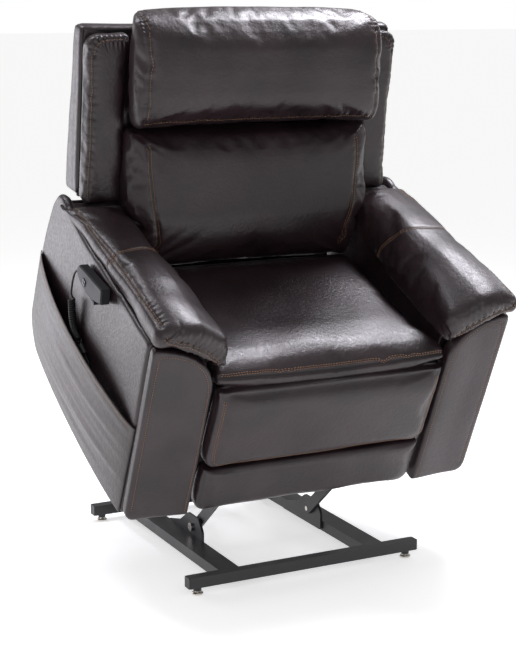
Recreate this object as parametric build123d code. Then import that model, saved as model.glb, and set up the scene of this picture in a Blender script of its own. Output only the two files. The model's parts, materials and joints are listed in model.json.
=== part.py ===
from build123d import *
import math
import os

# Lift recliner chair, built in its raised pose. Millimetres.
# World frame: X to the sitter's left, Y to the rear, Z up, origin on the floor at the centre of the base.
# The sitter's right side is -X. Three frames are used:
#   world  the base, the lift links and the lift actuator
#   CHAIR  the tilted chair: y rearwards and z up from the bottom front edge of the arms
#   BACK   the backrest: y rearwards and z up along the back from the recline pivot

# ---- driving dimensions -------------------------------------------------------------------------
SEAT_WIDTH = 568.0          # between the arms
ARM_WIDTH = 148.5           # side panel to inner panel
TILT = 27.0                 # chair pitched forward in the raised pose
CHAIR_Y = -276.0            # chair frame origin in the world
CHAIR_Z = 180.0

BASE_WIDTH = 586.0          # length of the cross tubes
BASE_DEPTH = 575.0          # centre to centre of the cross tubes
BASE_TUBE = 25.0            # square tube
RAIL_WIDTH = 50.0           # side rails, flat tube
RAIL_CENTRE = 186.0         # side rail centre line from the middle
FOOT_HEIGHT = 17.0          # floor to the underside of the tubes
FOOT_DISC = 13.0            # radius of a levelling foot
FOOT_INSET = 25.0           # foot centre from the tube's end
CAP_THICK = 3.0             # plastic end cap
TUBE_WALL = 2.0

PLATE = 6.0                 # every mechanism plate and link
PLATE_GAP = 2.0             # between neighbouring plates
PIN_R = 6.0                 # lift pivot pins
RUN_CLEAR = 0.05            # radial clearance of a running pivot
OPEN_CLEAR = 4.0            # radial clearance of a pivot that is left open
LINK_R = 14.0               # half width of a lift link
SMALL_PIN_R = 4.0           # footrest pivot pins
SMALL_LINK_R = 11.0         # half width of a footrest link

FRONT_BASE = (-25.0, 60.0)      # lift pivots on the base, world (y, z)
REAR_BASE = (239.0, 65.0)
FRONT_TOP = (74.0, 4.0)         # lift pivots on the chair, CHAIR (y, z)
REAR_TOP = (159.0, 8.0)

TORQUE_SHARE = 0.6              # where the torque tube crosses between the rear links
MOTOR_BASE = (262.0, 66.0)      # lift actuator pivot on the base, world
MOTOR_TOP = (200.0, 70.0)       # lift actuator pivot on the chair, CHAIR
MOTOR_SLACK = 11.0              # radial clearance of the lift actuator's open rod eye
RECLINE_SLACK = 6.0             # radial clearance of the recline actuator's open rod eye
REAR_POST_Y = 412.0
MOTOR_R = 17.0                  # outer tube of an actuator
ROD_R = 10.0
MOTOR_TUBE = 330.0              # pivot to the mouth of the outer tube
MOTOR_ROD = 255.0               # rod length to its eye
RECLINE_BASE = (150.0, 196.0)   # recline actuator pivot under the seat, CHAIR
RECLINE_TUBE = 290.0
RECLINE_ROD = 150.0
LEVER = 80.0                    # recline lever below the back pivot

BACK_PIVOT = (570.0, 250.0)     # CHAIR
BACK_RAKE = 19.0                # back leans from the seat's upright
BACK_WIDTH = 788.0
BACK_FRAME_WIDTH = 490.0
PILLOW_WIDTH = 620.0
BACK_HEIGHT = 569.0             # pivot to the top of the shell

ARM_HEIGHT = 450.0
ARM_FALL = 26.0                 # the arm's top drops this much towards the rear
ARM_DEPTH = 686.0
PANEL = 20.0                    # padded outer panel
PLY = 18.0                      # arm frame boards
INNER_PANEL = 12.0
PAD_OVERHANG = 8.0              # arm pad past the side panel

SEAT_BOTTOM = 258.0             # underside of the seat cushion
SEAT_REAR = 505.0
SOFT_GAP = 2.5                  # seat and back cushions to the arms

SIDE_RAIL_X = 256.0             # inner face of the fixed footrest plates
RAIL_BOTTOM = 215.0
RAIL_TOP = 248.0
STRAP = 8.0
SEAT_FRAME_X = 215.0            # outer face of the seat frame tubes
SEAT_FRAME_FRONT = 75.0
SEAT_FRAME_REAR = 485.0

BOARD_BACK = 45.0               # rear face of the closed footrest board, CHAIR y
BOARD = 12.0
BOARD_BOTTOM = 4.0
BOARD_TOP = 332.0
FOOTREST_PIVOT = (58.0, 235.0)  # board hinge, closed
TRAVEL = 300.0                  # forward travel of the links over 90 degrees
LINK_SPACING = 70.0             # between the two swinging links
CARRIER_REACH = 185.0           # board hinge to the first swinging link
CARRIER_DROP = 150.0
TIP = 40.0                      # drive arm of the board

POCKET_TOP = 240.0
POCKET_BULGE = 36.0
POCKET_FRONT = 36.0
POCKET_REAR = 676.0
CLOTH = 4.0

HANDSET_THICK = 20.0
HANDSET_STAND = 8.0             # its back stands this far off the arm
HANDSET_OUTLINE = [(256, 400), (265, 433), (396, 406), (404, 396), (403, 382), (382, 373), (327, 372), (292, 383)]
HANDSET_KEYS = (354.0, 389.0)   # centre of the four buttons, CHAIR (y, z)
CORD_DROP = 41.4                # the cord leaves the handset this far below the arm's line, degrees
BUTTON = 6.0
BUTTON_PITCH = 7.4
BUTTON_CLEAR = 0.3
CORD_R = 2.25
COIL_R = 8.5

# ---- derived places ------------------------------------------------------------------------------
HALF_SEAT = SEAT_WIDTH / 2
HALF_WIDTH = HALF_SEAT + ARM_WIDTH
HALF_BACK = BACK_WIDTH / 2
TUBE_Y = BASE_DEPTH / 2
RAIL_IN = RAIL_CENTRE - RAIL_WIDTH / 2
RAIL_LENGTH = BASE_DEPTH - BASE_TUBE

BRACKET_X = RAIL_IN - PLATE                     # inner face of each plate, outside to inside
FRONT_LINK_X = BRACKET_X - PLATE_GAP - PLATE
LIFT_PLATE_X = FRONT_LINK_X - PLATE_GAP - PLATE
REAR_LINK_X = LIFT_PLATE_X - PLATE_GAP - PLATE
LINK_X = SIDE_RAIL_X - PLATE_GAP - PLATE        # footrest mechanism, outside to inside
CARRIER_X = LINK_X - PLATE_GAP - PLATE
DRIVE_X = CARRIER_X - PLATE_GAP - PLATE
LUG_X = DRIVE_X - PLATE_GAP - PLATE

CHAIR = Pos(0, CHAIR_Y, CHAIR_Z) * Rot(TILT, 0, 0)
BACK = CHAIR * Pos(0, *BACK_PIVOT) * Rot(-BACK_RAKE, 0, 0)

REACH = TRAVEL / 2
LINK_B_TOP = (FOOTREST_PIVOT[0] + CARRIER_REACH - REACH + LINK_SPACING,
              FOOTREST_PIVOT[1] - CARRIER_DROP + REACH)
LINK_A_TOP = (LINK_B_TOP[0] - LINK_SPACING, LINK_B_TOP[1])
LINK_A_LOW = (LINK_A_TOP[0] + REACH, LINK_A_TOP[1] - REACH)
LINK_B_LOW = (LINK_B_TOP[0] + REACH, LINK_B_TOP[1] - REACH)
TIP_OFFSET = TIP / math.sqrt(2)
DRIVE_LOW = (LINK_A_LOW[0] + TIP_OFFSET, LINK_A_LOW[1] - TIP_OFFSET)
DRIVE_TOP = (FOOTREST_PIVOT[0] + TIP_OFFSET, FOOTREST_PIVOT[1] - TIP_OFFSET)


def turned(point, angle):
    """A (y, z) point turned about X."""
    c, s = math.cos(math.radians(angle)), math.sin(math.radians(angle))
    return point[0] * c - point[1] * s, point[0] * s + point[1] * c


def to_world(point):
    """A CHAIR (y, z) point in the world."""
    y, z = turned(point, TILT)
    return y + CHAIR_Y, z + CHAIR_Z


def from_back(point):
    """A BACK (y, z) point in the CHAIR frame."""
    y, z = turned(point, -BACK_RAKE)
    return y + BACK_PIVOT[0], z + BACK_PIVOT[1]


# ---- shape helpers -------------------------------------------------------------------------------
def block(x0, x1, y0, y1, z0, z1):
    """A box between two corners."""
    return Pos((x0 + x1) / 2, (y0 + y1) / 2, (z0 + z1) / 2) * Box(abs(x1 - x0), abs(y1 - y0), abs(z1 - z0))


def slab(points, x0, x1, radius=0.0):
    """A (y, z) outline with rounded corners, as thick as x0 to x1."""
    face = make_face(Polyline(*points, close=True))
    if radius:
        face = fillet(face.vertices(), radius)
    return extrude(Plane.YZ.offset(x0) * face, x1 - x0, dir=(1, 0, 0))


def rod(radius, x0, x1, at):
    """A round bar along X through a (y, z) point."""
    return Pos((x0 + x1) / 2, *at) * Rot(0, 90, 0) * Cylinder(radius, abs(x1 - x0))


def bar(start, end, half_width, x0, thick=PLATE):
    """A flat link with round ends between two (y, z) points."""
    length = math.dist(start, end)
    angle = math.degrees(math.atan2(end[1] - start[1], end[0] - start[0]))
    strip = Pos(length / 2, 0) * SlotCenterToCenter(length, 2 * half_width)
    return extrude(Plane.YZ.offset(x0) * Pos(*start) * Rot(0, 0, angle) * strip, thick, dir=(1, 0, 0))


def pair(solid):
    """A solid and its mirror image on the other side."""
    return [solid, mirror(solid, about=Plane.YZ)]


def both(solids):
    """Each solid and its mirror image."""
    return [copy for solid in solids for copy in pair(solid)]


def soft(solid, radius):
    """A cushion block with every edge eased."""
    return fillet(solid.edges(), radius)


def route(points, share=0.45):
    """A line of straight runs joined by arcs as large as the runs allow, and its radii."""
    spots = [Vector(*p) for p in points]
    radii = []
    for before, here, after in zip(spots, spots[1:], spots[2:]):
        turn = (here - before).get_angle(after - here)
        shorter = min((here - before).length, (after - here).length)
        radii.append(share * shorter / math.tan(math.radians(turn / 2)))
    return FilletPolyline(*points, radius=radii), radii


def tube_along(points, radius, name):
    """A solid cord along a route, with its measures printed."""
    line, radii = route(points)
    section = Plane(origin=line @ 0, z_dir=line % 0) * Circle(radius)
    solid = sweep(section, path=line)
    expected = math.pi * radius ** 2 * line.length
    print(f"{name}: length {line.length:.1f}, radii {[round(r, 1) for r in radii]},"
          f" volume ratio {solid.volume / expected:.4f}")
    return solid


NODES = {}


def node(name, solids, where=Location()):
    """Place a node's solids and keep them for export."""
    listed = solids if isinstance(solids, list) else [solids]
    NODES[name] = [where * piece for shape in listed for piece in shape.solids()]


# ---- base ----------------------------------------------------------------------------------------
def square_tube(width, depth, height, wall, axis):
    """A hollow square tube, open at its ends along one axis."""
    inner = [width - 2 * wall, depth - 2 * wall, height - 2 * wall]
    inner["XYZ".index(axis)] = [width, depth, height]["XYZ".index(axis)]
    return Box(width, depth, height) - Box(*inner)


def base():
    middle = FOOT_HEIGHT + BASE_TUBE / 2
    length = BASE_WIDTH - 2 * CAP_THICK
    tube = square_tube(length, BASE_TUBE, BASE_TUBE, TUBE_WALL, "X")
    node("base_cross_tubes", [Pos(0, y, middle) * tube for y in (-TUBE_Y, TUBE_Y)])
    rail = square_tube(RAIL_WIDTH, RAIL_LENGTH, BASE_TUBE, TUBE_WALL, "Y")
    node("base_side_rails", pair(Pos(RAIL_CENTRE, 0, middle) * rail))

    spots = [(x, y) for x in (-1, 1) for y in (-TUBE_Y, TUBE_Y)]
    cap = fillet(Box(CAP_THICK, BASE_TUBE, BASE_TUBE).edges().filter_by(Axis.X), 2)
    caps = [Pos(side * (BASE_WIDTH - CAP_THICK) / 2, y, middle) * cap for side, y in spots]
    foot_x = BASE_WIDTH / 2 - FOOT_INSET
    disc = 5.0
    foot = Pos(0, 0, disc / 2) * Cylinder(FOOT_DISC, disc)
    foot = chamfer(foot.edges().group_by(Axis.Z)[-1], 1.5)
    foot += Pos(0, 0, disc + 2) * Cylinder(4, 4)
    node("levelling_feet", [Pos(side * foot_x, y, 0) * foot for side, y in spots])
    collar = Pos(0, 0, (disc + 4 + FOOT_HEIGHT) / 2) * Cylinder(9, FOOT_HEIGHT - disc - 4)
    collars = [Pos(side * foot_x, y, 0) * collar for side, y in spots]
    node("tube_caps_and_collars", caps + collars)

    low, high = FOOT_HEIGHT + 3, FRONT_BASE[1] + 28
    front = slab([(-80, low), (-80, 60), (-60, high), (0, high), (45, 58), (115, 40), (115, low)],
                 BRACKET_X, RAIL_IN, 5)
    front -= rod(PIN_R, BRACKET_X, RAIL_IN, FRONT_BASE)
    y, z = REAR_BASE
    rear = slab([(y - 50, low), (y - 44, z - 5), (y - 20, z + 22), (y + 15, z + 22), (y + 34, z - 5),
                 (y + 34, low)], BRACKET_X, RAIL_IN, 5)
    rear -= rod(PIN_R, BRACKET_X, RAIL_IN, REAR_BASE)

    head = 6.0
    bolt = rod(PIN_R, FRONT_LINK_X - 1, RAIL_IN, FRONT_BASE) + rod(10, RAIL_IN, RAIL_IN + head, FRONT_BASE)
    long_bolt = rod(PIN_R, REAR_LINK_X - 2, RAIL_IN, REAR_BASE) + rod(10, RAIL_IN, RAIL_IN + head, REAR_BASE)
    sleeve = rod(10, REAR_LINK_X + PLATE + 0.3, BRACKET_X, REAR_BASE)

    ear_out = 18.0
    face_y = TUBE_Y - BASE_TUBE / 2
    ear = slab([(face_y, FOOT_HEIGHT + 5), (face_y, MOTOR_BASE[1] + 12), (MOTOR_BASE[0] - 12, MOTOR_BASE[1] + 12),
                (MOTOR_BASE[0] - 12, MOTOR_BASE[1] - 14), (face_y - 10, FOOT_HEIGHT + 5)],
               ear_out - 5, ear_out, 2)
    ear -= rod(PIN_R, ear_out - 5, ear_out, MOTOR_BASE)
    node("base_lift_brackets", both([front, rear, ear]))
    motor_pin = rod(PIN_R, -ear_out - 2, ear_out + 2, MOTOR_BASE)
    node("base_pivot_bolts", both([bolt, long_bolt + sleeve]) + [motor_pin])


# ---- lift links ----------------------------------------------------------------------------------
def lift_links():
    hole = PIN_R + RUN_CLEAR
    top = to_world(FRONT_TOP)
    front = bar(FRONT_BASE, top, LINK_R, FRONT_LINK_X)
    for at in (FRONT_BASE, top):
        front -= rod(hole, FRONT_LINK_X, BRACKET_X, at)
    node("front_lift_links", pair(front))

    top = to_world(REAR_TOP)
    rear = bar(REAR_BASE, top, LINK_R, REAR_LINK_X)
    rear -= rod(hole, REAR_LINK_X, LIFT_PLATE_X, REAR_BASE)
    rear -= rod(PIN_R + OPEN_CLEAR, REAR_LINK_X, LIFT_PLATE_X, top)
    torque_r = 12.5
    across = [low + (high - low) * TORQUE_SHARE for low, high in zip(REAR_BASE, top)]
    torque = rod(torque_r, -REAR_LINK_X, REAR_LINK_X, across)
    torque -= rod(torque_r - TUBE_WALL, -REAR_LINK_X, REAR_LINK_X, across)
    node("rear_lift_links", pair(rear) + [torque])


# ---- actuators -----------------------------------------------------------------------------------
def actuator(length, tube_end, rod_length, eye_clear):
    """An actuator along +X from its base pivot at the origin: (housing, outer tube, rod)."""
    case_start, case_end = -14.0, 62.0
    wide, motor_r, motor_length = 13.0, 23.0, 105.0
    case = block(case_start, case_end, -wide + 0.5, wide - 0.5, -20, 20)
    case = fillet(case.edges().filter_by(Axis.Y), 8)
    motor_y = wide - 0.5 + motor_r
    motor = Pos((case_end - 20 + motor_length) / 2, motor_y, 0) * Rot(0, 90, 0)
    motor *= Cylinder(motor_r, motor_length - (case_end - 20))
    neck = block(20, case_end, wide - 0.5, motor_y + 15, -17, 17)
    housing = case + fillet(motor.edges(), 4) + neck
    housing -= Rot(90, 0, 0) * Cylinder(PIN_R + RUN_CLEAR, 4 * wide)
    outer = Pos((case_end + tube_end) / 2, 0, 0) * Rot(0, 90, 0) * Cylinder(MOTOR_R, tube_end - case_end)
    bore = Pos((case_end + tube_end) / 2 + 2, 0, 0) * Rot(0, 90, 0)
    outer -= bore * Cylinder(ROD_R + RUN_CLEAR, tube_end - case_end - 4)
    inner_end = length - rod_length
    shaft = Pos((inner_end + length - 8) / 2, 0, 0) * Rot(0, 90, 0) * Cylinder(ROD_R, length - 8 - inner_end)
    eye = Pos(length, 0, 0) * Rot(90, 0, 0) * Cylinder(PIN_R + eye_clear + 5, 2 * ROD_R)
    shaft += eye
    shaft -= Pos(length, 0, 0) * Rot(90, 0, 0) * Cylinder(PIN_R + eye_clear, 60)
    return housing, outer, shaft


def aim(start, end):
    """Where an actuator lies between two (y, z) points: its +X along them, its +Y along -X."""
    angle = math.degrees(math.atan2(end[1] - start[1], end[0] - start[0]))
    return Pos(0, *start) * Rot(angle, 0, 0) * Rot(0, 0, 90)


def actuators():
    top = to_world(MOTOR_TOP)
    housing, outer, shaft = actuator(math.dist(MOTOR_BASE, top), MOTOR_TUBE, MOTOR_ROD, MOTOR_SLACK)
    where = aim(MOTOR_BASE, top)
    node("lift_motor_housing", housing, where)
    node("lift_motor_tube", outer, where)
    node("lift_motor_rod", shaft, where)

    top = from_back((0, -LEVER))
    housing, outer, shaft = actuator(math.dist(RECLINE_BASE, top), RECLINE_TUBE, RECLINE_ROD, RECLINE_SLACK)
    where = CHAIR * aim(RECLINE_BASE, top)
    node("recline_motor_housing", housing, where)
    node("recline_motor_tube", outer, where)
    node("recline_motor_rod", shaft, where)


# ---- chair frame ---------------------------------------------------------------------------------
def lift_frame():
    tube = BASE_TUBE
    far_y = REAR_POST_Y + tube / 2 + 5
    plate_out = LIFT_PLATE_X + PLATE
    bar_front, bar_rear = MOTOR_TOP[0] - 58, MOTOR_TOP[0] - 38
    lobe = MOTOR_TOP[1] + 18
    plate = slab([(50, -10), (REAR_TOP[0] + 26, -10), (REAR_TOP[0] + 42, 26), (far_y, 26), (far_y, 60),
                  (bar_rear + 22, 60), (bar_rear + 6, lobe), (bar_front - 6, lobe), (bar_front - 22, 60), (50, 60)],
                 LIFT_PLATE_X, plate_out, 5)
    for at in (FRONT_TOP, REAR_TOP):
        plate -= rod(PIN_R, LIFT_PLATE_X, plate_out, at)
    node("lift_frame_plates", pair(plate), CHAIR)

    spots = (SEAT_FRAME_FRONT + 2 * tube, REAR_POST_Y)
    posts = [block(plate_out, plate_out + tube, y - tube / 2, y + tube / 2, 28, RAIL_TOP - 26) for y in spots]
    crossbar = block(-LIFT_PLATE_X, LIFT_PLATE_X, bar_front, bar_rear, lobe - 24, lobe - 4)
    ear = slab([(bar_rear, lobe - 24), (bar_rear, lobe - 4), (MOTOR_TOP[0] + 12, MOTOR_TOP[1] + 12),
                (MOTOR_TOP[0] + 12, MOTOR_TOP[1] - 12)], 12, 17)
    ear -= rod(PIN_R, 12, 17, MOTOR_TOP)
    node("lift_frame_posts", both(posts + [ear]) + [crossbar], CHAIR)

    head = 3.0
    front = rod(PIN_R, LIFT_PLATE_X - 1, BRACKET_X - 0.5, FRONT_TOP)
    rear = rod(PIN_R, REAR_LINK_X - 0.5, plate_out + 0.5, REAR_TOP)
    motor = rod(PIN_R, -19, 19, MOTOR_TOP)
    reach = SIDE_RAIL_X + PLATE + head
    recline = [rod(8, LINK_X - PLATE_GAP - 1, reach, BACK_PIVOT)]
    link_pins = [rod(SMALL_PIN_R, LINK_X - head, reach, at) for at in (LINK_A_TOP, LINK_B_TOP)]
    under_seat = rod(PIN_R, -20, 20, RECLINE_BASE)
    node("chair_pivot_pins", both([front, rear] + recline + link_pins) + [motor, under_seat], CHAIR)


def seat_frame():
    tube = 26.0
    low = RAIL_TOP - tube
    inner = SEAT_FRAME_X - tube
    sides = block(inner, SEAT_FRAME_X, SEAT_FRAME_FRONT, SEAT_FRAME_REAR, low, RAIL_TOP)
    rows = (SEAT_FRAME_FRONT, RECLINE_BASE[0] - tube / 2, 295.0 - tube / 2, SEAT_FRAME_REAR - tube)
    rails = [block(-inner, inner, y, y + tube, low, RAIL_TOP) for y in rows]
    strap_y = (LINK_B_TOP[0] - LINK_SPACING / 2 - 10, SEAT_FRAME_REAR - 25)
    out = SIDE_RAIL_X + PLATE
    straps = [block(-out, out, y, y + 20, RAIL_TOP, RAIL_TOP + STRAP) for y in strap_y]
    ear = slab([(RECLINE_BASE[0] - 12, low), (RECLINE_BASE[0] - 12, RECLINE_BASE[1] - 12),
                (RECLINE_BASE[0] + 12, RECLINE_BASE[1] - 12), (RECLINE_BASE[0] + 12, low)], 13, 18)
    ear -= rod(PIN_R, 13, 18, RECLINE_BASE)
    node("seat_frame", pair(sides) + rails + straps + pair(ear), CHAIR)

    wire, waves, wide = 4.0, 14, 24.0
    start, end = SEAT_FRAME_FRONT + tube / 2, SEAT_FRAME_REAR - tube / 2
    springs = []
    for column in range(-2, 3):
        x = column * 70.0
        steps = [(x + wide * (-1) ** k / 2, start + (end - start) * k / waves) for k in range(waves + 1)]
        springs.append(Pos(0, 0, RAIL_TOP) * extrude(trace(Polyline(*steps), line_width=wire), wire))
    strap_cut = [block(-out, out, y - 1, y + 21, RAIL_TOP, RAIL_TOP + STRAP) for y in strap_y]
    lifted = [(spring - strap_cut[0] - strap_cut[1]) for spring in springs]
    node("seat_springs", lifted, CHAIR)

    boss = BACK_PIVOT[1] + 22
    plate = slab([(LINK_A_TOP[0] - 16, RAIL_BOTTOM), (LINK_A_TOP[0] - 16, RAIL_TOP), (BACK_PIVOT[0] - 45, RAIL_TOP),
                  (BACK_PIVOT[0] - 22, boss), (BACK_PIVOT[0] + 22, boss), (BACK_PIVOT[0] + 22, RAIL_BOTTOM)],
                 SIDE_RAIL_X, SIDE_RAIL_X + PLATE, 5)
    plate -= rod(8, SIDE_RAIL_X, SIDE_RAIL_X + PLATE, BACK_PIVOT)
    for at in (LINK_A_TOP, LINK_B_TOP):
        plate -= rod(SMALL_PIN_R, SIDE_RAIL_X, SIDE_RAIL_X + PLATE, at)
    mounts = [block(SIDE_RAIL_X + PLATE, HALF_SEAT, y, y + 40, RAIL_BOTTOM + 3, RAIL_TOP - 3) for y in (190, 470)]
    node("mechanism_side_plates", both([plate] + mounts), CHAIR)

    box_x, box_y, box_h = 70.0, 240.0, 31.0
    case = block(box_x, box_x + 110, box_y, box_y + 110, low - box_h, low)
    node("control_box", fillet(case.edges().filter_by(Axis.Z), 6), CHAIR)
    socket = block(box_x + 40, box_x + 70, box_y + 110, box_y + 124, low - box_h + 4, low - 5)
    socket -= block(box_x + 44, box_x + 66, box_y + 114, box_y + 124, low - box_h + 8, low - 9)
    node("power_inlet", socket, CHAIR)


# ---- upholstery ----------------------------------------------------------------------------------
def arm_top(y):
    """Height of the arm under its pad."""
    front, rear = (58.0, ARM_HEIGHT), (600.0, ARM_HEIGHT - ARM_FALL)
    return front[1] + (rear[1] - front[1]) * (y - front[0]) / (rear[0] - front[0])


def arms():
    side = slab([(31, 0), (58, arm_top(58)), (600, arm_top(600)), (640, ARM_HEIGHT - 38), (668, 330),
                 (ARM_DEPTH, 215), (ARM_DEPTH, 30), (672, 0)], HALF_WIDTH - PANEL, HALF_WIDTH, 10)
    node("arm_side_panels", pair(side), CHAIR)
    rake = 27.0
    front = slab([(5, 0), (5 + rake, ARM_HEIGHT), (30 + rake, ARM_HEIGHT), (30, 0)], HALF_SEAT, HALF_WIDTH)
    node("arm_front_panels", pair(front), CHAIR)
    inner = slab([(62, SEAT_BOTTOM - 60), (62, arm_top(62)), (600, arm_top(600)), (625, 340), (625, 20),
                  (200, 20), (200, SEAT_BOTTOM - 60)], HALF_SEAT, HALF_SEAT + INNER_PANEL)
    node("arm_inner_panels", pair(inner), CHAIR)
    x0, x1 = HALF_SEAT + INNER_PANEL, HALF_WIDTH - PANEL
    boards = [block(x0, x1, 62, 62 + PLY, 15, 415), block(x0, x1, 640 - PLY, 640, 15, 335),
              block(x0, x1, 62 + PLY, 640 - PLY, 15, 15 + PLY), block(x0, x1, 62 + PLY, 598, 415 - PLY, 415)]
    node("arm_frames", both(boards), CHAIR)
    pad_out = HALF_WIDTH + PAD_OVERHANG
    outline = [(60, arm_top(60) + 0.5), (596, arm_top(596) + 0.3), (600, 427.5), (569, 430), (540, 437), (376, 470),
               (199, 496), (62, 509), (24, 502), (12, 479), (18, arm_top(18) + 2)]
    pad = slab(outline, HALF_SEAT, pad_out)
    for name, solid in zip(("left_arm_pad", "right_arm_pad"), pair(pad)):
        node(name, solid, CHAIR)
    rear = block(-HALF_SEAT, HALF_SEAT, 645, 660, 30, 190)
    node("rear_panel", rear, CHAIR)


def seat():
    half = HALF_SEAT - SOFT_GAP
    outline = [(28, 340), (24, 356), (44, 373), (90, 373), (430, 318), (SEAT_REAR, 300), (SEAT_REAR, SEAT_BOTTOM),
               (64, SEAT_BOTTOM), (64, 340)]
    node("seat_cushion", slab(outline, -half, half), CHAIR)


def pocket_shell(bulge_top, bulge_low, floor, top):
    """The bulging space between the side panel and a sheet hung on it."""
    wall = -HALF_WIDTH
    sections = []
    for height, bulge in ((floor, bulge_low), (top, bulge_top)):
        ends = (wall, POCKET_FRONT, height), (wall, POCKET_REAR, height)
        arc = ThreePointArc(ends[0], (wall - bulge, (POCKET_FRONT + POCKET_REAR) / 2, height), ends[1])
        sections.append(make_face([arc, Line(ends[1], ends[0])]))
    return loft(sections)


def pocket():
    outside = pocket_shell(POCKET_BULGE, 16, 2, POCKET_TOP)
    inside = pocket_shell(POCKET_BULGE - CLOTH, 16 - CLOTH, 2 + CLOTH, POCKET_TOP + 1)
    node("side_pocket", outside - inside, CHAIR)


# ---- backrest ------------------------------------------------------------------------------------
def backrest():
    half = BACK_FRAME_WIDTH / 2
    tube, front, rear = 25.0, -40.0, -15.0
    uprights = block(half - tube, half, front, rear, -22, BACK_HEIGHT - 10)
    rails = [block(-half + tube, half - tube, front, rear, z, z + tube) for z in (-22, 270, BACK_HEIGHT - 35)]
    ear = slab([(front, -22), (-8, -LEVER - 12), (10, -LEVER - 12), (10, -LEVER + 12), (rear, -22)], 12, 17)
    ear -= rod(PIN_R, 12, 17, (0, -LEVER))
    lever = pair(ear) + [rod(PIN_R, -19, 19, (0, -LEVER))]
    node("back_frame", pair(uprights) + rails + lever, BACK)
    bracket = slab([(front, -22), (-8, -22), (16, -14), (20, 0), (12, 18), (rear, 40), (rear, 90), (front, 90)],
                   LINK_X, LINK_X + PLATE, 3)
    bracket -= rod(8 + RUN_CLEAR, LINK_X, LINK_X + PLATE, (0, 0))
    spacer = block(half, LINK_X, front, rear, 20, 85)
    node("back_brackets", both([bracket + spacer]), BACK)

    # The back is widest above the arms, fits between them lower down, and clears the side plates at its foot.
    foot, waist, step = -18.0, 100.0, 188.0
    halves = [(LINK_X - PLATE, foot, waist), (HALF_SEAT - 8, waist, step), (HALF_BACK - 4, step, BACK_HEIGHT - 6)]
    board = [block(-half_width, half_width, -14, -2, low, high) for half_width, low, high in halves]
    node("back_board", board[0] + board[1] + board[2], BACK)
    lower = slab([(-1, foot), (52, foot), (57, waist), (-1, waist)], -halves[0][0], halves[0][0])
    middle = slab([(-1, waist), (57, waist), (60, step + 1), (-1, step + 1)], -halves[1][0], halves[1][0])
    upper = slab([(-1, step + 1), (66, step + 6), (34, BACK_HEIGHT), (-1, BACK_HEIGHT)], -HALF_BACK, HALF_BACK)
    node("back_outer_shell", upper + middle + lower, BACK)

    wing_in = PILLOW_WIDTH / 2 + 1.5
    wing = block(wing_in, HALF_BACK, -63, -15, 181, BACK_HEIGHT - 6)
    for name, solid in zip(("left_wing", "right_wing"), pair(soft(wing, 14))):
        node(name, solid, BACK)
    half_lumbar = HALF_SEAT - SOFT_GAP
    lumbar = slab([(-150, 37), (-132, 190), (-108, 340), (-60, 352), (-42, 345), (-42, 37)],
                  -half_lumbar, half_lumbar, 8)
    node("lumbar_cushion", lumbar, BACK)
    pillow = slab([(-42, 362), (-120, 358), (-150, 420), (-146, 540), (-110, 606), (-42, 612)],
                  -PILLOW_WIDTH / 2, PILLOW_WIDTH / 2, 14)
    node("head_pillow", pillow, BACK)


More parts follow.
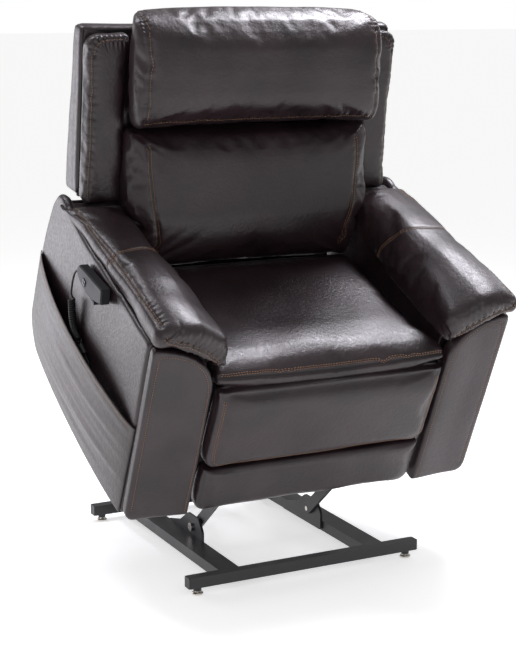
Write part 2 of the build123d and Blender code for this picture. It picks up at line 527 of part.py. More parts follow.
# ---- footrest ------------------------------------------------------------------------------------
def footrest():
    hole, open_hole = SMALL_PIN_R + RUN_CLEAR, SMALL_PIN_R + 1.0
    arm = bar(LINK_A_TOP, DRIVE_LOW, SMALL_LINK_R, LINK_X)
    arm -= rod(hole, LINK_X, SIDE_RAIL_X, LINK_A_TOP)
    arm -= rod(SMALL_PIN_R, LINK_X, SIDE_RAIL_X, LINK_A_LOW)
    arm -= rod(SMALL_PIN_R, LINK_X, SIDE_RAIL_X, DRIVE_LOW)
    pins = [rod(SMALL_PIN_R, CARRIER_X - 0.5, LINK_X + PLATE, LINK_A_LOW),
            rod(SMALL_PIN_R, DRIVE_X - 0.5, LINK_X + PLATE, DRIVE_LOW)]
    node("footrest_front_links", both([arm] + pins), CHAIR)

    follower = bar(LINK_B_TOP, LINK_B_LOW, SMALL_LINK_R, LINK_X)
    follower -= rod(hole, LINK_X, SIDE_RAIL_X, LINK_B_TOP)
    follower -= rod(open_hole, LINK_X, SIDE_RAIL_X, LINK_B_LOW)
    node("footrest_rear_links", pair(follower), CHAIR)

    carrier = bar(LINK_B_LOW, LINK_A_LOW, SMALL_LINK_R, CARRIER_X) + bar(LINK_A_LOW, FOOTREST_PIVOT,
                                                                         SMALL_LINK_R, CARRIER_X)
    carrier -= rod(hole, CARRIER_X, LINK_X, LINK_A_LOW)
    carrier -= rod(SMALL_PIN_R, CARRIER_X, LINK_X, LINK_B_LOW)
    carrier -= rod(SMALL_PIN_R, CARRIER_X, LINK_X, FOOTREST_PIVOT)
    carrier_pins = [rod(SMALL_PIN_R, CARRIER_X, LINK_X + PLATE - 0.5, LINK_B_LOW),
                    rod(SMALL_PIN_R, LUG_X - 0.5, CARRIER_X + PLATE, FOOTREST_PIVOT)]
    node("footrest_carriers", both([carrier] + carrier_pins), CHAIR)

    drive = bar(DRIVE_LOW, DRIVE_TOP, SMALL_LINK_R - 2, DRIVE_X)
    drive -= rod(hole, DRIVE_X, CARRIER_X, DRIVE_LOW)
    drive -= rod(open_hole, DRIVE_X, CARRIER_X, DRIVE_TOP)
    node("footrest_drive_links", pair(drive), CHAIR)

    lug = slab([(BOARD_BACK, BOARD_TOP - 70), (BOARD_BACK + 16, FOOTREST_PIVOT[1] + 12),
                (DRIVE_TOP[0] + 11, DRIVE_TOP[1] + 2), (DRIVE_TOP[0] + 2, DRIVE_TOP[1] - 10),
                (BOARD_BACK, DRIVE_TOP[1] - 40)], LUG_X, LUG_X + PLATE)
    lug -= rod(hole, LUG_X, DRIVE_X, FOOTREST_PIVOT)
    lug -= rod(SMALL_PIN_R, LUG_X, DRIVE_X, DRIVE_TOP)
    node("footrest_lugs", both([lug, rod(SMALL_PIN_R, LUG_X, CARRIER_X - 0.5, DRIVE_TOP)]), CHAIR)

    half = HALF_SEAT - 12
    front = BOARD_BACK - BOARD
    node("footrest_board", block(-half, half, front, BOARD_BACK, BOARD_BOTTOM, BOARD_TOP), CHAIR)
    upper = slab([(front, 130), (-4, 130), (-6, 145), (0, 322), (12, 335), (front, 335)], -half - 5, half + 5)
    node("footrest_upper_pad", upper, CHAIR)
    lower = slab([(front, 3), (2, 3), (-4, 12), (-4, 122), (0, 127), (front, 127)], -half - 2, half + 2)
    node("footrest_lower_pad", lower, CHAIR)


# ---- handset and cord ----------------------------------------------------------------------------
def handset():
    wall = -HALF_WIDTH
    back_plane = wall - HANDSET_STAND
    front_plane = back_plane - HANDSET_THICK
    split = (back_plane + front_plane) / 2
    rear_shell = slab(HANDSET_OUTLINE, split, back_plane, 4)
    front_shell = slab(HANDSET_OUTLINE, front_plane, split, 4)
    front_shell = chamfer(front_shell.faces().sort_by(Axis.X)[0].edges(), 3)
    spots = {"up": (1, 1), "down": (1, -1), "recline": (-1, 1), "upright": (-1, -1)}
    proud, deep = 2.0, 7.0
    for name, (along, above) in spots.items():
        y = HANDSET_KEYS[0] + along * BUTTON_PITCH / 2
        z = HANDSET_KEYS[1] + above * BUTTON_PITCH / 2
        half = BUTTON / 2
        key = block(front_plane - proud, front_plane + deep - 2, y - half, y + half, z - half, z + half)
        node(f"button_{name}", fillet(key.faces().sort_by(Axis.X)[0].edges(), 0.6), CHAIR)
        half += BUTTON_CLEAR
        front_shell -= block(front_plane - 1, front_plane + deep, y - half, y + half, z - half, z + half)
    node("handset_rear_shell", rear_shell, CHAIR)
    node("handset_front_shell", front_shell, CHAIR)
    plate = slab([(274, 396), (280, 420), (384, 399), (388, 382), (330, 364), (300, 366)], back_plane, wall, 5)
    lip = block(front_plane + 8, back_plane, 305, 345, 364, 370)
    node("handset_holder", plate + lip, CHAIR)
    return (split, 402.0, 389.0)


def cord(exit_point):
    start = CHAIR * Pos(*exit_point) * Rot(-CORD_DROP, 0, 0)
    nose_length = 12.0
    nose = start * Rot(-90, 0, 0) * Pos(0, 0, nose_length / 2) * Cone(4.5, 3.2, nose_length)
    node("cord_strain_relief", nose)
    begin = (start * Pos(0, nose_length, 0)).position
    coil_top, coil_low = (-455.0, -41.0, 634.0), (-450.0, -80.0, 538.0)
    upper = [tuple(begin), (-451.0, -67.0, 703.0), (-452.5, -53, 692), (-453.5, -44, 672), (-454.5, -38, 652), coil_top]
    node("handset_cord_upper", tube_along(upper, CORD_R, "handset_cord_upper"))
    coil = [coil_top, (-455.5, -42.0, 597.0), (-453.0, -53.0, 563.0), coil_low]
    node("handset_cord_coil", tube_along(coil, COIL_R, "handset_cord_coil"))
    line, _ = route(coil)
    end_way = Plane(origin=line @ 1, z_dir=line % 1)
    plug_length = 24.0
    node("cord_connector", end_way * Pos(0, 0, plug_length / 2) * Cylinder(6, plug_length))
    tail = (end_way * Pos(0, 0, plug_length)).position
    way = end_way.z_dir
    socket = CHAIR * Pos(-HALF_WIDTH, 262, 118)
    plug_out = socket.position
    first = tail + way * 16
    tail_points = [tuple(tail), tuple(first), (-447.0, -121.0, 493.0), (-449.5, -127.0, 470.0),
                   (-450.5, -125.0, 446.0), (-449.5, -115.0, 425.0), (-447.5, -103.0, 411.0),
                   (plug_out.X - 9.5, plug_out.Y - 1, plug_out.Z + 1), (plug_out.X - 3.0, plug_out.Y, plug_out.Z)]
    node("handset_cord_lower", tube_along(tail_points, CORD_R, "handset_cord_lower"))
    ring = Rot(0, 90, 0) * (Cylinder(7, 3) - Cylinder(CORD_R, 3))
    node("cord_grommet", CHAIR * Pos(-HALF_WIDTH - 1.5, 262, 118) * ring)


def build():
    base()
    lift_links()
    actuators()
    lift_frame()
    seat_frame()
    arms()
    seat()
    pocket()
    backrest()
    footrest()
    cord(handset())
    os.makedirs("parts", exist_ok=True)
    for name, solids in NODES.items():
        export_step(Compound(children=solids), f"parts/{name}.step")
    print(len(NODES), "nodes")


build()
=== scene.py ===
"""Lift recliner chair: leather upholstery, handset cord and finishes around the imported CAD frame."""
import json
import logging
import math
from dataclasses import dataclass, field
from enum import Enum
from typing import Callable, Optional, Sequence

import bmesh
import bpy
import numpy as np
from mathutils import Matrix, Vector, kdtree
from mathutils.bvhtree import BVHTree

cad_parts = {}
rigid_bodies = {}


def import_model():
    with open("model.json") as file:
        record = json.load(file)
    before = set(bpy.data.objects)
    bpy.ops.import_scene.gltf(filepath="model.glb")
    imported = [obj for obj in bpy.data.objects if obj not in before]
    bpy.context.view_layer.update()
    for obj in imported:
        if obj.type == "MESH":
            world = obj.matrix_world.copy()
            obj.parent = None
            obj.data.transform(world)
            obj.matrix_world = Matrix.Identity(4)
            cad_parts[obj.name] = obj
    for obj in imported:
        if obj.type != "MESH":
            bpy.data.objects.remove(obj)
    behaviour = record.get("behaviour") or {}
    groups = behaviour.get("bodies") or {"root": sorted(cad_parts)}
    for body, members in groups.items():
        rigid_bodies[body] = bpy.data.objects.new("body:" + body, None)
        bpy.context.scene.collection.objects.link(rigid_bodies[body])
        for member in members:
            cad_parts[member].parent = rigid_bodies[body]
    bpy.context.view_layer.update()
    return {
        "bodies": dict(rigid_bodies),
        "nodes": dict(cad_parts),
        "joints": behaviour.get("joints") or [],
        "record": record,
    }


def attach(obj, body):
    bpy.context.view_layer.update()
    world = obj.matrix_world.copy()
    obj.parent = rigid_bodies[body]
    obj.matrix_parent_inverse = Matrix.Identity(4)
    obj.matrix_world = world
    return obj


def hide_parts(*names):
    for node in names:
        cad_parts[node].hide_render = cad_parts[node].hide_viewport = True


LOG = logging.getLogger("recliner")
MM = 0.001
Point = tuple[float, float, float]
Flat = tuple[float, float]
Colour = tuple[float, float, float]

CHAIR = Matrix.Translation((0.0, -0.276, 0.180)) @ Matrix.Rotation(math.radians(27.0), 4, "X")
BACK = CHAIR @ Matrix.Translation((0.0, 0.570, 0.250)) @ Matrix.Rotation(math.radians(-19.0), 4, "X")


class Side(Enum):
    """The sitter's left and right; the value is the sign of x."""

    LEFT = 1
    RIGHT = -1


SIGNS = tuple(side.value for side in Side)


# ---- finishes ------------------------------------------------------------------------------------
class Graph:
    """Adds and joins shader nodes in one node tree."""

    def __init__(self, tree: bpy.types.NodeTree) -> None:
        """Keeps the tree that the nodes go into."""
        self.tree = tree

    def node(self, kind: str, **values: object) -> bpy.types.Node:
        """A new node with its properties set.

        Args:
            kind: the node's type name.
            **values: properties of the node.
        Returns:
            The node.
        """
        made = self.tree.nodes.new(kind)
        for name, value in values.items():
            setattr(made, name, value)
        return made

    def join(self, source: bpy.types.NodeSocket, target: bpy.types.NodeSocket) -> None:
        """Links one socket to another."""
        self.tree.links.new(source, target)

    def sums(self, first: object, second: object, how: str = "MULTIPLY") -> bpy.types.NodeSocket:
        """A Math node of two sockets or numbers.

        Args:
            first: a socket or a number.
            second: a socket or a number.
            how: the Math operation.
        Returns:
            The result's socket.
        """
        made = self.node("ShaderNodeMath", operation=how)
        for index, value in enumerate((first, second)):
            if isinstance(value, bpy.types.NodeSocket):
                self.join(value, made.inputs[index])
            else:
                made.inputs[index].default_value = value
        return made.outputs[0]

    def span(self, value: bpy.types.NodeSocket, low: float, high: float, to_low: float = 0.0,
             to_high: float = 1.0) -> bpy.types.NodeSocket:
        """Maps a value from one range to another, held at the ends."""
        made = self.node("ShaderNodeMapRange")
        self.join(value, made.inputs["Value"])
        for name, number in zip(("From Min", "From Max", "To Min", "To Max"), (low, high, to_low, to_high)):
            made.inputs[name].default_value = number
        return made.outputs["Result"]

    def blend(self, factor: bpy.types.NodeSocket, first: object, second: object) -> bpy.types.NodeSocket:
        """A colour mix; each colour is a socket or three numbers."""
        made = self.node("ShaderNodeMix", data_type="RGBA")
        self.join(factor, made.inputs["Factor"])
        for socket, value in ((made.inputs[6], first), (made.inputs[7], second)):
            if isinstance(value, bpy.types.NodeSocket):
                self.join(value, socket)
            else:
                socket.default_value = (*value, 1.0)
        return made.outputs[2]


class Effects:
    """Node groups that several materials share, each built once."""

    made: dict[str, bpy.types.NodeTree] = {}

    @classmethod
    def start(cls, name: str, scales: Sequence[str], outputs: Sequence[str]) -> tuple[Graph, dict, dict]:
        """An empty group with a vector input, scale inputs and outputs.

        Args:
            name: the group's name.
            scales: the scale inputs' names.
            outputs: the outputs' names.
        Returns:
            The graph, its input sockets and its output sockets, by name.
        """
        tree = bpy.data.node_groups.new(name, "ShaderNodeTree")
        tree.interface.new_socket(name="Vector", in_out="INPUT", socket_type="NodeSocketVector")
        for way, sockets in (("INPUT", scales), ("OUTPUT", outputs)):
            for socket in sockets:
                tree.interface.new_socket(name=socket, in_out=way, socket_type="NodeSocketFloat")
        graph = Graph(tree)
        source, target = graph.node("NodeGroupInput"), graph.node("NodeGroupOutput")
        cls.made[name] = tree
        given = {socket.name: socket for socket in source.outputs if socket.name}
        return graph, given, {socket.name: socket for socket in target.inputs if socket.name}

    @staticmethod
    def noises(graph: Graph, given: dict, details: dict[str, float]) -> list[bpy.types.NodeSocket]:
        """One noise for each scale input, on the group's coordinates.

        Args:
            graph: the group's graph.
            given: the group's input sockets.
            details: each scale input's name and its noise's detail.
        Returns:
            The noises' values in the same order.
        """
        made = []
        for name, detail in details.items():
            node = graph.node("ShaderNodeTexNoise", noise_dimensions="3D")
            graph.join(given["Vector"], node.inputs["Vector"])
            graph.join(given[name], node.inputs["Scale"])
            node.inputs["Detail"].default_value = detail
            made.append(node.outputs["Fac"])
        return made

    @classmethod
    def grain(cls) -> bpy.types.NodeTree:
        """Leather grain: pebbles, soft creases and patches of tone."""
        name = "leather_grain"
        if name not in cls.made:
            details = {"Pebble": 2.0, "Crease": 5.0, "Patch": 3.0}
            graph, given, put = cls.start(name, tuple(details), ("Height", "Gloss", "Tone"))
            pebble, crease, patch = cls.noises(graph, given, details)
            halves = [graph.sums(height, 0.5) for height in
                      (graph.span(pebble, 0.3, 0.7), graph.span(crease, 0.38, 0.62))]
            graph.join(graph.sums(*halves, "ADD"), put["Height"])
            graph.join(graph.span(crease, 0.3, 0.7), put["Gloss"])
            graph.join(graph.span(patch, 0.35, 0.65), put["Tone"])
        return cls.made[name]

    @classmethod
    def scuff(cls) -> bpy.types.NodeTree:
        """Handling marks: fine speckle for the height and cloudy smears for the gloss."""
        name = "handling_scuff"
        if name not in cls.made:
            details = {"Speckle": 2.0, "Smear": 6.0}
            graph, given, put = cls.start(name, tuple(details), ("Height", "Gloss", "Dust"))
            speckle, smear = cls.noises(graph, given, details)
            graph.join(speckle, put["Height"])
            graph.join(graph.span(smear, 0.3, 0.7), put["Gloss"])
            graph.join(graph.span(smear, 0.52, 0.75), put["Dust"])
        return cls.made[name]


class Finish:
    """A material that is made once and then shared."""

    made: dict[str, bpy.types.Material] = {}
    name = "finish"

    def material(self) -> bpy.types.Material:
        """The material, built at its first use."""
        if self.name not in Finish.made:
            material = bpy.data.materials.new(self.name)
            material.use_nodes = True
            graph = Graph(material.node_tree)
            self.build(graph, material.node_tree.nodes["Principled BSDF"])
            Finish.made[self.name] = material
        return Finish.made[self.name]

    def build(self, graph: Graph, shader: bpy.types.Node) -> None:
        """Fills the material's nodes; each kind of finish has its own."""

    def dress(self, thing: bpy.types.Object) -> None:
        """Makes this the object's only material."""
        thing.data.materials.clear()
        thing.data.materials.append(self.material())

    @staticmethod
    def pattern(graph: Graph, tree: bpy.types.NodeTree, **values: float) -> bpy.types.Node:
        """A shared group on the piece's own coordinates.

        Args:
            graph: the material's graph.
            tree: the shared group.
            **values: its input values.
        Returns:
            The group node.
        """
        place = graph.node("ShaderNodeTexCoord")
        group = graph.node("ShaderNodeGroup", node_tree=tree)
        graph.join(place.outputs["Object"], group.inputs["Vector"])
        for name, value in values.items():
            group.inputs[name].default_value = value
        return group

    @staticmethod
    def bump(graph: Graph, shader: bpy.types.Node, height: bpy.types.NodeSocket, strength: float,
             distance: float) -> None:
        """Feeds a height to the shader's normal."""
        node = graph.node("ShaderNodeBump")
        node.inputs["Strength"].default_value = strength
        node.inputs["Distance"].default_value = distance
        graph.join(height, node.inputs["Height"])
        graph.join(node.outputs["Normal"], shader.inputs["Normal"])


@dataclass(frozen=True)
class Leather(Finish):
    """Semi-gloss leather with grain and creases, and painted shade darkening the seam grooves."""

    name: str = "chestnut_leather"
    dark: Colour = (0.0108, 0.0050, 0.0062)
    light: Colour = (0.0255, 0.0134, 0.0160)
    # seam: painted shade, the near-black colour that the leather is darkened to in the seam grooves
    seam: Colour = (0.0040, 0.0022, 0.0022)
    gloss: Flat = (0.30, 0.43)
    depth: float = 0.0007
    strength: float = 0.55

    def build(self, graph: Graph, shader: bpy.types.Node) -> None:
        """Grain on Object coordinates, with painted shade from the seams' crease attribute darkening the grooves
        on top.
        """
        grain = self.pattern(graph, Effects.grain(), Pebble=330.0, Crease=120.0, Patch=9.0)
        crease = graph.node("ShaderNodeAttribute", attribute_name="crease")
        tone = graph.blend(grain.outputs["Tone"], self.dark, self.light)
        # painted shade: the crease mask blends the colour towards the seam colour in the seam grooves
        colour = graph.blend(graph.span(crease.outputs["Fac"], 0.15, 1.0, 0.0, 0.85), tone, self.seam)
        graph.join(colour, shader.inputs["Base Color"])
        rough = graph.span(grain.outputs["Gloss"], 0.0, 1.0, *self.gloss)
        duller = graph.sums(crease.outputs["Fac"], 0.18)
        graph.join(graph.sums(rough, duller, "ADD"), shader.inputs["Roughness"])
        self.bump(graph, shader, grain.outputs["Height"], self.strength, self.depth)
        shader.inputs["IOR"].default_value = 1.52
        shader.inputs["Coat Weight"].default_value = 0.12
        shader.inputs["Coat Roughness"].default_value = 0.30


@dataclass(frozen=True)
class Hard(Finish):
    """Metal or moulded plastic with handling marks."""

    name: str = "black_plastic"
    base: Colour = (0.012, 0.012, 0.013)
    worn: Colour = (0.020, 0.020, 0.021)
    gloss: Flat = (0.35, 0.5)
    metal: float = 0.0
    specular: float = 0.5
    speckle: float = 900.0
    smear: float = 14.0
    depth: float = 0.00012
    strength: float = 0.35

    def build(self, graph: Graph, shader: bpy.types.Node) -> None:
        """Speckle, smears and a little settled dust."""
        marks = self.pattern(graph, Effects.scuff(), Speckle=self.speckle, Smear=self.smear)
        graph.join(graph.blend(marks.outputs["Dust"], self.base, self.worn), shader.inputs["Base Color"])
        graph.join(graph.span(marks.outputs["Gloss"], 0.0, 1.0, *self.gloss), shader.inputs["Roughness"])
        self.bump(graph, shader, marks.outputs["Height"], self.strength, self.depth)
        shader.inputs["Metallic"].default_value = self.metal
        shader.inputs["Specular IOR Level"].default_value = self.specular


@dataclass(frozen=True)
class Board(Finish):
    """Raw plywood with streaked grain."""

    name: str = "plywood"
    dark: Colour = (0.28, 0.17, 0.09)
    light: Colour = (0.52, 0.38, 0.22)

    def build(self, graph: Graph, shader: bpy.types.Node) -> None:
        """Long streaks along x and a fine tooth."""
        place = graph.node("ShaderNodeTexCoord")
        stretch = graph.node("ShaderNodeMapping")
        stretch.inputs["Scale"].default_value = (6.0, 60.0, 60.0)
        graph.join(place.outputs["Object"], stretch.inputs["Vector"])
        noise = graph.node("ShaderNodeTexNoise")
        noise.inputs["Scale"].default_value = 3.0
        noise.inputs["Detail"].default_value = 8.0
        graph.join(stretch.outputs["Vector"], noise.inputs["Vector"])
        streak = graph.span(noise.outputs["Fac"], 0.35, 0.65)
        graph.join(graph.blend(streak, self.dark, self.light), shader.inputs["Base Color"])
        graph.join(graph.span(streak, 0.0, 1.0, 0.55, 0.75), shader.inputs["Roughness"])
        self.bump(graph, shader, noise.outputs["Fac"], 0.4, 0.0003)


@dataclass(frozen=True)
class Floor(Finish):
    """The studio's pale floor, which glows a little as a lit backdrop does."""

    name: str = "studio_floor"
    glow: float = 0.57

    def build(self, graph: Graph, shader: bpy.types.Node) -> None:
        """An even white."""
        shader.inputs["Base Color"].default_value = (0.90, 0.90, 0.90, 1.0)
        shader.inputs["Roughness"].default_value = 0.8
        shader.inputs["Emission Color"].default_value = (1.0, 1.0, 1.0, 1.0)
        shader.inputs["Emission Strength"].default_value = self.glow


LEATHER = Leather()
THREAD = Hard(name="tan_thread", base=(0.30, 0.150, 0.075), worn=(0.40, 0.23, 0.13),
              gloss=(0.5, 0.65), speckle=2500.0, smear=60.0)
DUST_CLOTH = Hard(name="black_dust_cloth", base=(0.006, 0.006, 0.006), worn=(0.010, 0.010, 0.010),
                  gloss=(0.85, 0.95), speckle=700.0)
CORD_SKIN = Hard(name="cord_rubber", base=(0.003, 0.003, 0.004), worn=(0.006, 0.006, 0.007),
                 gloss=(0.45, 0.55), specular=0.35)
SLOT_FINISH = {
    "chestnut_leather": LEATHER,
    "black_frame": Hard(name="black_frame", base=(0.017, 0.017, 0.019), worn=(0.026, 0.026, 0.028),
                        gloss=(0.34, 0.46), speckle=1300.0, depth=0.0002),
    "zinc_link": Hard(name="zinc_link", base=(0.40, 0.41, 0.43), worn=(0.52, 0.53, 0.54), gloss=(0.24, 0.42),
                      metal=1.0, smear=40.0),
    "nickel": Hard(name="nickel", base=(0.66, 0.63, 0.58), worn=(0.56, 0.54, 0.50), gloss=(0.14, 0.26),
                   metal=1.0),
    "black_plastic": Hard(),
    "motor_tube": Hard(name="motor_tube", base=(0.030, 0.030, 0.034), worn=(0.045, 0.045, 0.05),
                       gloss=(0.28, 0.4), metal=0.85),
    "handset_grey": Hard(name="handset_grey", base=(0.013, 0.014, 0.017), worn=(0.020, 0.021, 0.025),
                         gloss=(0.45, 0.55), speckle=1600.0, specular=0.25),
    "button_grey": Hard(name="button_grey", base=(0.012, 0.012, 0.014), worn=(0.02, 0.02, 0.022),
                        gloss=(0.3, 0.4)),
    "plywood": Board(),
}


# ---- meshes --------------------------------------------------------------------------------------
SAME_SPOT = 0.2
BEVEL_STEPS = 3


def add_object(name: str, data: bpy.types.ID) -> bpy.types.Object:
    """A new object in the scene's collection."""
    thing = bpy.data.objects.new(name, data)
    bpy.context.collection.objects.link(thing)
    return thing


def prism(points: Sequence[Point], along: Point, bevel: float = 0.0) -> bmesh.types.BMesh:
    """A flat outline pushed out into a solid.

    Args:
        points: the outline's corners in order, in millimetres.
        along: how far the outline is pushed, in millimetres.
        bevel: the rounding of every edge, in millimetres.
    Returns:
        The solid, in metres.
    """
    bm = bmesh.new()
    spots = [Vector(point) * MM for point in points]
    loop = [spot for k, spot in enumerate(spots) if (spot - spots[k - 1]).length > SAME_SPOT * MM]
    face = bm.faces.new([bm.verts.new(spot) for spot in loop])
    made = bmesh.ops.extrude_face_region(bm, geom=[face])
    bmesh.ops.translate(bm, verts=[g for g in made["geom"] if isinstance(g, bmesh.types.BMVert)],
                        vec=Vector(along) * MM)
    bmesh.ops.holes_fill(bm, edges=[e for e in bm.edges if e.is_boundary])
    bmesh.ops.recalc_face_normals(bm, faces=bm.faces)
    if bevel:
        bmesh.ops.bevel(bm, geom=list(bm.edges), offset=bevel * MM, affect="EDGES", segments=BEVEL_STEPS,
                        profile=0.5, material=-1, clamp_overlap=True)
    return bm


def side_slab(outline: Sequence[Flat], x0: float, x1: float, bevel: float = 0.0) -> bmesh.types.BMesh:
    """A solid from a (y, z) outline between two places in x."""
    return prism([(x0, y, z) for y, z in outline], (x1 - x0, 0.0, 0.0), bevel)


def front_slab(outline: Sequence[Flat], y0: float, y1: float, bevel: float = 0.0) -> bmesh.types.BMesh:
    """A solid from an (x, z) outline between two places in y."""
    return prism([(x, y0, z) for x, z in outline], (0.0, y1 - y0, 0.0), bevel)


def dome(bm: bmesh.types.BMesh, facing: Point, steps: Sequence[Flat]) -> None:
    """Rounds one end of a solid by insets that also push outwards.

    Args:
        bm: the solid.
        facing: the direction of the end's face.
        steps: (inset, push) pairs in millimetres.
    """
    way = Vector(facing)
    face = max(bm.faces, key=lambda f: f.normal.dot(way) * f.calc_area())
    for inset, push in steps:
        bmesh.ops.inset_region(bm, faces=[face], thickness=inset * MM, depth=push * MM,
                               use_even_offset=True)


def corner(centre: Flat, radius: float, start: float, end: float, steps: int = 6) -> list[Flat]:
    """Points of a rounded corner.

    Args:
        centre: the arc's centre.
        radius: its radius.
        start: first angle in degrees.
        end: last angle in degrees.
        steps: number of spans.
    Returns:
        The points in order.
    """
    turn = [math.radians(start + (end - start) * k / steps) for k in range(steps + 1)]
    return [(centre[0] + radius * math.cos(a), centre[1] + radius * math.sin(a)) for a in turn]


def smooth_step(value: np.ndarray, low: float, high: float) -> np.ndarray:
    """0 below low, 1 above high, and an even curve between."""
    t = np.clip((value - low) / (high - low), 0.0, 1.0)
    return t * t * (3.0 - 2.0 * t)


def ripple(points: np.ndarray, wavelength: float, seed: int, waves: int = 9) -> np.ndarray:
    """Soft unevenness: a sum of plane waves in seeded directions.

    Args:
        points: places in millimetres.
        wavelength: the usual length of a wave.
        seed: which pattern.
        waves: how many waves are added.
    Returns:
        A value near -1 to 1 for each point.
    """
    draw = np.random.default_rng(seed)
    total = np.zeros(len(points))
    for _ in range(waves):
        way = draw.normal(size=3)
        way /= np.linalg.norm(way)
        length = wavelength * draw.uniform(0.7, 1.6)
        total += np.sin(points @ way * (2 * math.pi / length) + draw.uniform(0, 2 * math.pi))
    return total / math.sqrt(waves)


def bumps(points: np.ndarray, normals: np.ndarray, wavelength: float, seed: int,
          height: object) -> np.ndarray:
    """How far a ripple moves each point along its normal.

    Args:
        points: places in millimetres.
        normals: their normals.
        wavelength: the usual length of a wave.
        seed: which pattern.
        height: the ripple's height, one for all or one for each point.
    Returns:
        The moves in millimetres.
    """
    return normals * (ripple(points, wavelength, seed) * height)[:, None]


def frontal(normals: np.ndarray) -> np.ndarray:
    """1 where the surface faces forward, down to 0 where it doesn't."""
    return np.clip(-normals[:, 1], 0, 1)


def crowned(u: np.ndarray, v: np.ndarray, power: float) -> np.ndarray:
    """1 in a panel's middle and 0 at its edges, from shares across and up it."""
    return (16 * u * (1 - u) * v * (1 - v)) ** power


def behind(limit: float) -> Callable[[np.ndarray], np.ndarray]:
    """A test for the points that lie further back than a place in y."""
    return lambda points: points[:, 1] > limit


class Piece:
    """One soft piece: a mesh in one of the chair's frames until it is placed in the world."""

    def __init__(self, name: str, frame: Matrix, body: str, nodes: Sequence[str]) -> None:
        """Names the piece, the frame it is shaped in, its body and the CAD nodes it stands for."""
        self.name, self.frame, self.body, self.nodes = name, frame, body, tuple(nodes)
        self.thing: Optional[bpy.types.Object] = None

    def fill(self, *solids: bmesh.types.BMesh) -> "Piece":
        """Puts solids into the piece's mesh."""
        mesh = bpy.data.meshes.new(self.name)
        whole = bmesh.new()
        for solid in solids:
            part = bpy.data.meshes.new("part")
            solid.to_mesh(part)
            whole.from_mesh(part)
            solid.free()
            bpy.data.meshes.remove(part)
        whole.to_mesh(mesh)
        whole.free()
        self.thing = add_object(self.name, mesh)
        return self

    def settle(self) -> None:
        """Applies the modifiers to the mesh."""
        bpy.context.view_layer.update()
        shape = self.thing.evaluated_get(bpy.context.evaluated_depsgraph_get())
        mesh, old = bpy.data.meshes.new_from_object(shape), self.thing.data
        self.thing.modifiers.clear()
        self.thing.data = mesh
        bpy.data.meshes.remove(old)

    def remesh(self, voxel: float, passes: int = 4) -> "Piece":
        """Even quads all over, then a light smoothing.

        Args:
            voxel: the size of a quad in millimetres.
            passes: how often the surface is smoothed.
        Returns:
            The piece.
        """
        grid = self.thing.modifiers.new("grid", "REMESH")
        grid.mode, grid.voxel_size, grid.adaptivity = "VOXEL", voxel * MM, 0.0
        if passes:
            ease = self.thing.modifiers.new("ease", "SMOOTH")
            ease.factor, ease.iterations = 0.5, passes
        self.settle()
        return self

    @staticmethod
    def vectors(source: bpy.types.bpy_prop_collection, key: str) -> np.ndarray:
        """Three numbers for each item of a mesh's collection."""
        flat = np.empty(len(source) * 3, dtype=np.float32)
        source.foreach_get(key, flat)
        return flat.reshape(-1, 3).astype(float)

    def coords(self) -> np.ndarray:
        """The vertices in millimetres."""
        return self.vectors(self.thing.data.vertices, "co") / MM

    def normals(self) -> np.ndarray:
        """The vertices' normals."""
        return self.vectors(self.thing.data.vertex_normals, "vector")

    def put(self, points: np.ndarray) -> None:
        """Moves the vertices to places in millimetres."""
        self.thing.data.vertices.foreach_set("co", (points * MM).astype(np.float32).ravel())
        self.thing.data.update()

    def shape(self, move: Callable[[np.ndarray, np.ndarray], np.ndarray]) -> "Piece":
        """Moves the vertices by a function of places and normals, which returns the new places."""
        self.put(move(self.coords(), self.normals()))
        return self

    def ease(self, passes: int) -> None:
        """Takes the finest unevenness off the surface."""
        calm = self.thing.modifiers.new("calm", "SMOOTH")
        calm.factor, calm.iterations = 0.5, passes
        self.settle()

    def refine(self) -> "Piece":
        """One smooth subdivision."""
        finer = self.thing.modifiers.new("finer", "SUBSURF")
        finer.levels = finer.render_levels = 1
        self.settle()
        return self

    def mirrored(self, name: str, nodes: Sequence[str]) -> "Piece":
        """The piece's twin on the chair's other side."""
        twin = Piece(name, self.frame, self.body, nodes)
        twin.thing = add_object(name, self.thing.data.copy())
        twin.thing.data.transform(Matrix.Scale(-1.0, 4, (1.0, 0.0, 0.0)))
        twin.thing.data.flip_normals()
        return twin

    def tree(self) -> BVHTree:
        """A search tree of the surface, in metres."""
        bm = bmesh.new()
        bm.from_mesh(self.thing.data)
        found = BVHTree.FromBMesh(bm)
        bm.free()
        return found

    def place(self, finish: Finish = LEATHER, fill: Optional[float] = None) -> "Piece":
        """Puts the piece in the world, dresses it and hangs it on its body.

        Args:
            finish: its material.
            fill: how tight its padding is, if it is padded; not used.
        Returns:
            The piece.
        """
        self.thing.data.transform(self.frame)
        self.thing.data.shade_smooth()
        finish.dress(self.thing)
        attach(self.thing, self.body)
        if self.nodes:
            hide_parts(*self.nodes)
        LOG.info("%s: %d vertices on %s", self.name, len(self.thing.data.vertices), self.body)
        return self


